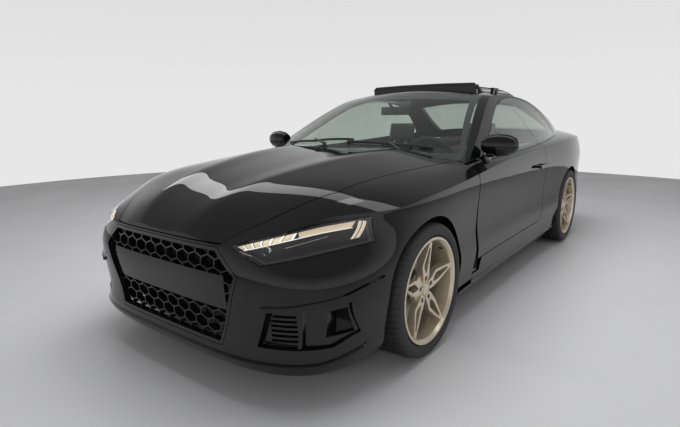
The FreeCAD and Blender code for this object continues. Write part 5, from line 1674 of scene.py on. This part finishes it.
cabin_pieces = {
    "instrument_hood": (swept(hood_line, HOOD, up=(0, 0.05, 1)), "leather", LEATHER),
    "instrument_screen": (block((0.225, -0.742, 0.868), (0.515, -0.734, 0.922)), "gloss_black", SCREEN),
    "centre_screen": (block((-0.125, -0.712, 0.862), (0.125, -0.702, 0.968), 0.004), "gloss_black", SCREEN),
    "centre_screen_frame": ([
        swept(SCREEN_FRAME, oval(0.0035, 0.008, 8), up=(0, 1, 0), closed=True),
        block((-0.03, -0.725, 0.840), (0.03, -0.708, 0.875), 0.004),
    ], "steel", TURNED_STEEL),
    "vent_slats": (slats, "gloss_black", GLOSS_BLACK),
    "dashboard_trim": (swept(TRIM_LINE, oval(0.004, 0.006)), "steel", TURNED_STEEL),
    "gear_knob": (lathe(KNOB, (0.0, -0.330, 0.545), "Z", 24), "leather", LEATHER),
}
for name, (shapes, slot, material) in cabin_pieces.items():
    new_piece(name, shapes, "body", slot, material)
armrest = placed(points, (0, 0.150, 0.547), 0), faces
new_piece("console_armrest", armrest, "body", "leather", LEATHER, sharp=80)
print("dashboard dressed")

# %% Steering wheel
WHEEL_CENTRE = np.array([0.370, -0.440, 0.846])
WHEEL_TILT = math.radians(-68.0)
WHEEL_FLAT = 0.97
RIM_RADIUS, SEAM_RADIUS = 0.182, 0.169
SPOKES = ((0, 0.172), (math.pi, 0.172), (-math.pi / 2, 0.168))
WHEEL_STITCH = {"Spacing": 0.006, "Length": 0.004, "Thickness": 0.0007, "Finish": THREAD}


def in_wheel(x, y, z):
    """A place in the wheel's own frame, seen by the driver with z towards them, metres."""
    c, s = math.cos(WHEEL_TILT), math.sin(WHEEL_TILT)
    return WHEEL_CENTRE + (x, y * c - z * s, y * s + z * c)


def on_wheel(radius, turn, z=0.0):
    return in_wheel(radius * math.cos(turn), radius * math.sin(turn) * WHEEL_FLAT, z)


turns = np.linspace(0, 2 * math.pi, 73)[:-1]
axis = in_wheel(0, 0, 1) - in_wheel(0, 0, 0)
ring = swept([on_wheel(RIM_RADIUS, t) for t in turns], oval(0.0145, 0.0130, 16), up=axis, closed=True)
wheel = new_piece("wheel_rim_leather", ring, "body", "leather", LEATHER, sharp=80)
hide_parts("steering_wheel")
seam = [on_wheel(SEAM_RADIUS, t) for t in turns]
seam_edges = [(i, (i + 1) % len(seam)) for i in range(len(seam))]
stitches = grown("wheel_stitches", (seam, []), ALONG_LINE, WHEEL_STITCH, seam_edges)
settled(stitches, "body", "leather", THREAD)
spokes = []
for turn, length in SPOKES:
    path = [on_wheel(r, turn, 0.010 * (1 - r / 0.17) - 0.004) for r in (0.03, 0.07, 0.11, length)]
    spokes.append(swept(path, oval(0.017, 0.006, 16), up=axis))
new_piece("wheel_spokes", spokes, "body", "steel", TURNED_STEEL)
points, faces = cushion((0.072, 0.056, 0.022), count=30)
hub = [in_wheel(*p) for p in np.array(points) + (0, 0, 0.012)]
new_piece("wheel_hub", (hub, faces), "body", "leather", LEATHER, sharp=80)
column = [in_wheel(0, 0, z) for z in (-0.195, -0.12, -0.06, -0.008)]
column = swept(column, oval(0.033, 0.033, 24), up=(1, 0, 0))
new_piece("wheel_column", column, "body", "matte_black", MATTE_BLACK)
print("steering wheel")

# %% Door cards
PULL = [
    (0.736, -0.470, 0.700), (0.716, -0.440, 0.716), (0.710, -0.360, 0.730), (0.716, -0.280, 0.732),
    (0.736, -0.250, 0.728),
]
SPEAKER = [(-0.010, 0.0), (-0.010, 0.078), (-0.004, 0.082), (0.003, 0.080), (0.003, 0.0)]
points, faces = cushion((0.026, 0.270, 0.030), count=30)
rest = np.array(points) + (0.706, -0.190, 0.590), faces
pull = swept(PULL, oval(0.007, 0.011, 14))
speaker = lathe(SPEAKER, (0.734, -0.600, 0.440))
for side, sign in SIDES:
    door = "door_" + side
    piece = new_piece("door_armrest_" + side, rest, door, "leather", LEATHER, side=sign, sharp=80)
    new_piece("door_pull_" + side, pull, door, "steel", TURNED_STEEL, side=sign)
    new_piece("door_speaker_" + side, speaker, door, "matte_black", MATTE_BLACK, side=sign)
print("door cards")

# %% [markdown]
# ## Under the bonnet
# The engine is a plain block that stands for the real one. What a driver sees on opening the bonnet is the
# ribbed cover over it, the air filter box and the battery beside it, the coolant tank with its round cap,
# and a corrugated hose from the filter. The boxes have broken edges, the caps are turned, and the hose is a
# sweep whose radius rises and falls in rings.

# %% Engine cover and what stands round the engine
edge_broken("engine", 0.012, ALLOY, segments=3)
POST = [(0.0, 0.0), (0.0, 0.010), (0.016, 0.009), (0.018, 0.0)]
TANK_CAP = [(0.0, 0.0), (0.0, 0.034), (0.022, 0.034), (0.026, 0.030), (0.026, 0.0)]
cover_ribs = [
    block((x - 0.009, -1.850, 0.780), (x + 0.009, -1.430, 0.791)) for x in np.arange(7) * 0.06 - 0.18
]
filter_ribs = [
    block((0.385, y - 0.005, 0.755), (0.555, y + 0.005, 0.763), 0.002) for y in np.arange(5) * 0.038 - 1.870
]
bay_pieces = {
    "engine_cover": ([
        block((-0.235, -1.880, 0.762), (0.235, -1.400, 0.784), 0.010), *cover_ribs,
    ], MATTE_BLACK),
    "air_filter_box": ([
        block((0.365, -1.905, 0.520), (0.575, -1.690, 0.742), 0.016),
        block((0.375, -1.895, 0.738), (0.565, -1.700, 0.758), 0.008), *filter_ribs,
    ], MATTE_BLACK),
    "battery_box": ([
        block((-0.575, -1.890, 0.520), (-0.370, -1.700, 0.728), 0.010),
        block((-0.565, -1.880, 0.726), (-0.380, -1.710, 0.744), 0.006),
    ], MATTE_BLACK),
    "coolant_tank": ([
        block((-0.500, -1.640, 0.600), (-0.360, -1.480, 0.730), 0.020),
        lathe(TANK_CAP, (-0.430, -1.560, 0.726), "Z", 28),
    ], GLOSS_BLACK),
}
for name, (shapes, material) in bay_pieces.items():
    new_piece(name, shapes, "body", "matte_black", material)
posts = [lathe(POST, (x, -1.735, 0.742), "Z", 20) for x in (-0.54, -0.41)]
new_piece("battery_posts", posts, "body", "steel", TURNED_STEEL)
print("bay pieces:", len(bay_pieces) + 1)

# %% Corrugated intake hose
HOSE_LINE = [
    (0.470, -1.690, 0.680), (0.470, -1.620, 0.690), (0.440, -1.560, 0.700), (0.390, -1.520, 0.700),
    (0.342, -1.510, 0.690),
]
HOSE_RADIUS, HOSE_SIDES, HOSE_STEPS, RING_HEIGHT = 0.034, 20, 90, 0.06
shares, corners = np.linspace(0, 1, HOSE_STEPS), np.linspace(0, 1, len(HOSE_LINE))
spine = np.stack([np.interp(shares, corners, coordinate) for coordinate in zip(*HOSE_LINE)], axis=1)
for _ in range(12):
    spine[1:-1] = (spine[:-2] + spine[1:-1] * 2 + spine[2:]) / 4
rings = 1 + RING_HEIGHT * np.sin(np.arange(HOSE_STEPS) * math.pi / 2)
points, faces = swept(spine, oval(HOSE_RADIUS, HOSE_RADIUS, HOSE_SIDES))
points = points.reshape(HOSE_STEPS, HOSE_SIDES, 3)
points = spine[:, None] + (points - spine[:, None]) * rings[:, None, None]
new_piece("intake_hose", (points.reshape(-1, 3), faces), "body", "matte_black", RUBBER_SEAL, sharp=70)
print("intake hose:", HOSE_STEPS, "rings")

# %% Finishes of the nodes that keep their own shape
NODE_FINISHES = {
    "front_structure": UNDERBODY, "floor_pan": UNDERBODY, "rear_panel": UNDERBODY, "engine": ALLOY,
    "exhaust": POLISHED_STEEL, "dashboard": MATTE_BLACK, "steering_wheel": LEATHER, "front_seats": LEATHER,
    "rear_seat": LEATHER, "mirror_left": PAINT, "mirror_right": PAINT, "grille": GLOSS_BLACK,
    "bumper_grilles": GLOSS_BLACK, "headlamp_housings": LAMP_DARK, "sunroof_glass": DARK_GLASS,
    "sunroof_deflector": MATTE_BLACK,
}
for name, material in NODE_FINISHES.items():
    finish_with(nodes[name], material)
print("finished", len(NODE_FINISHES), "nodes")
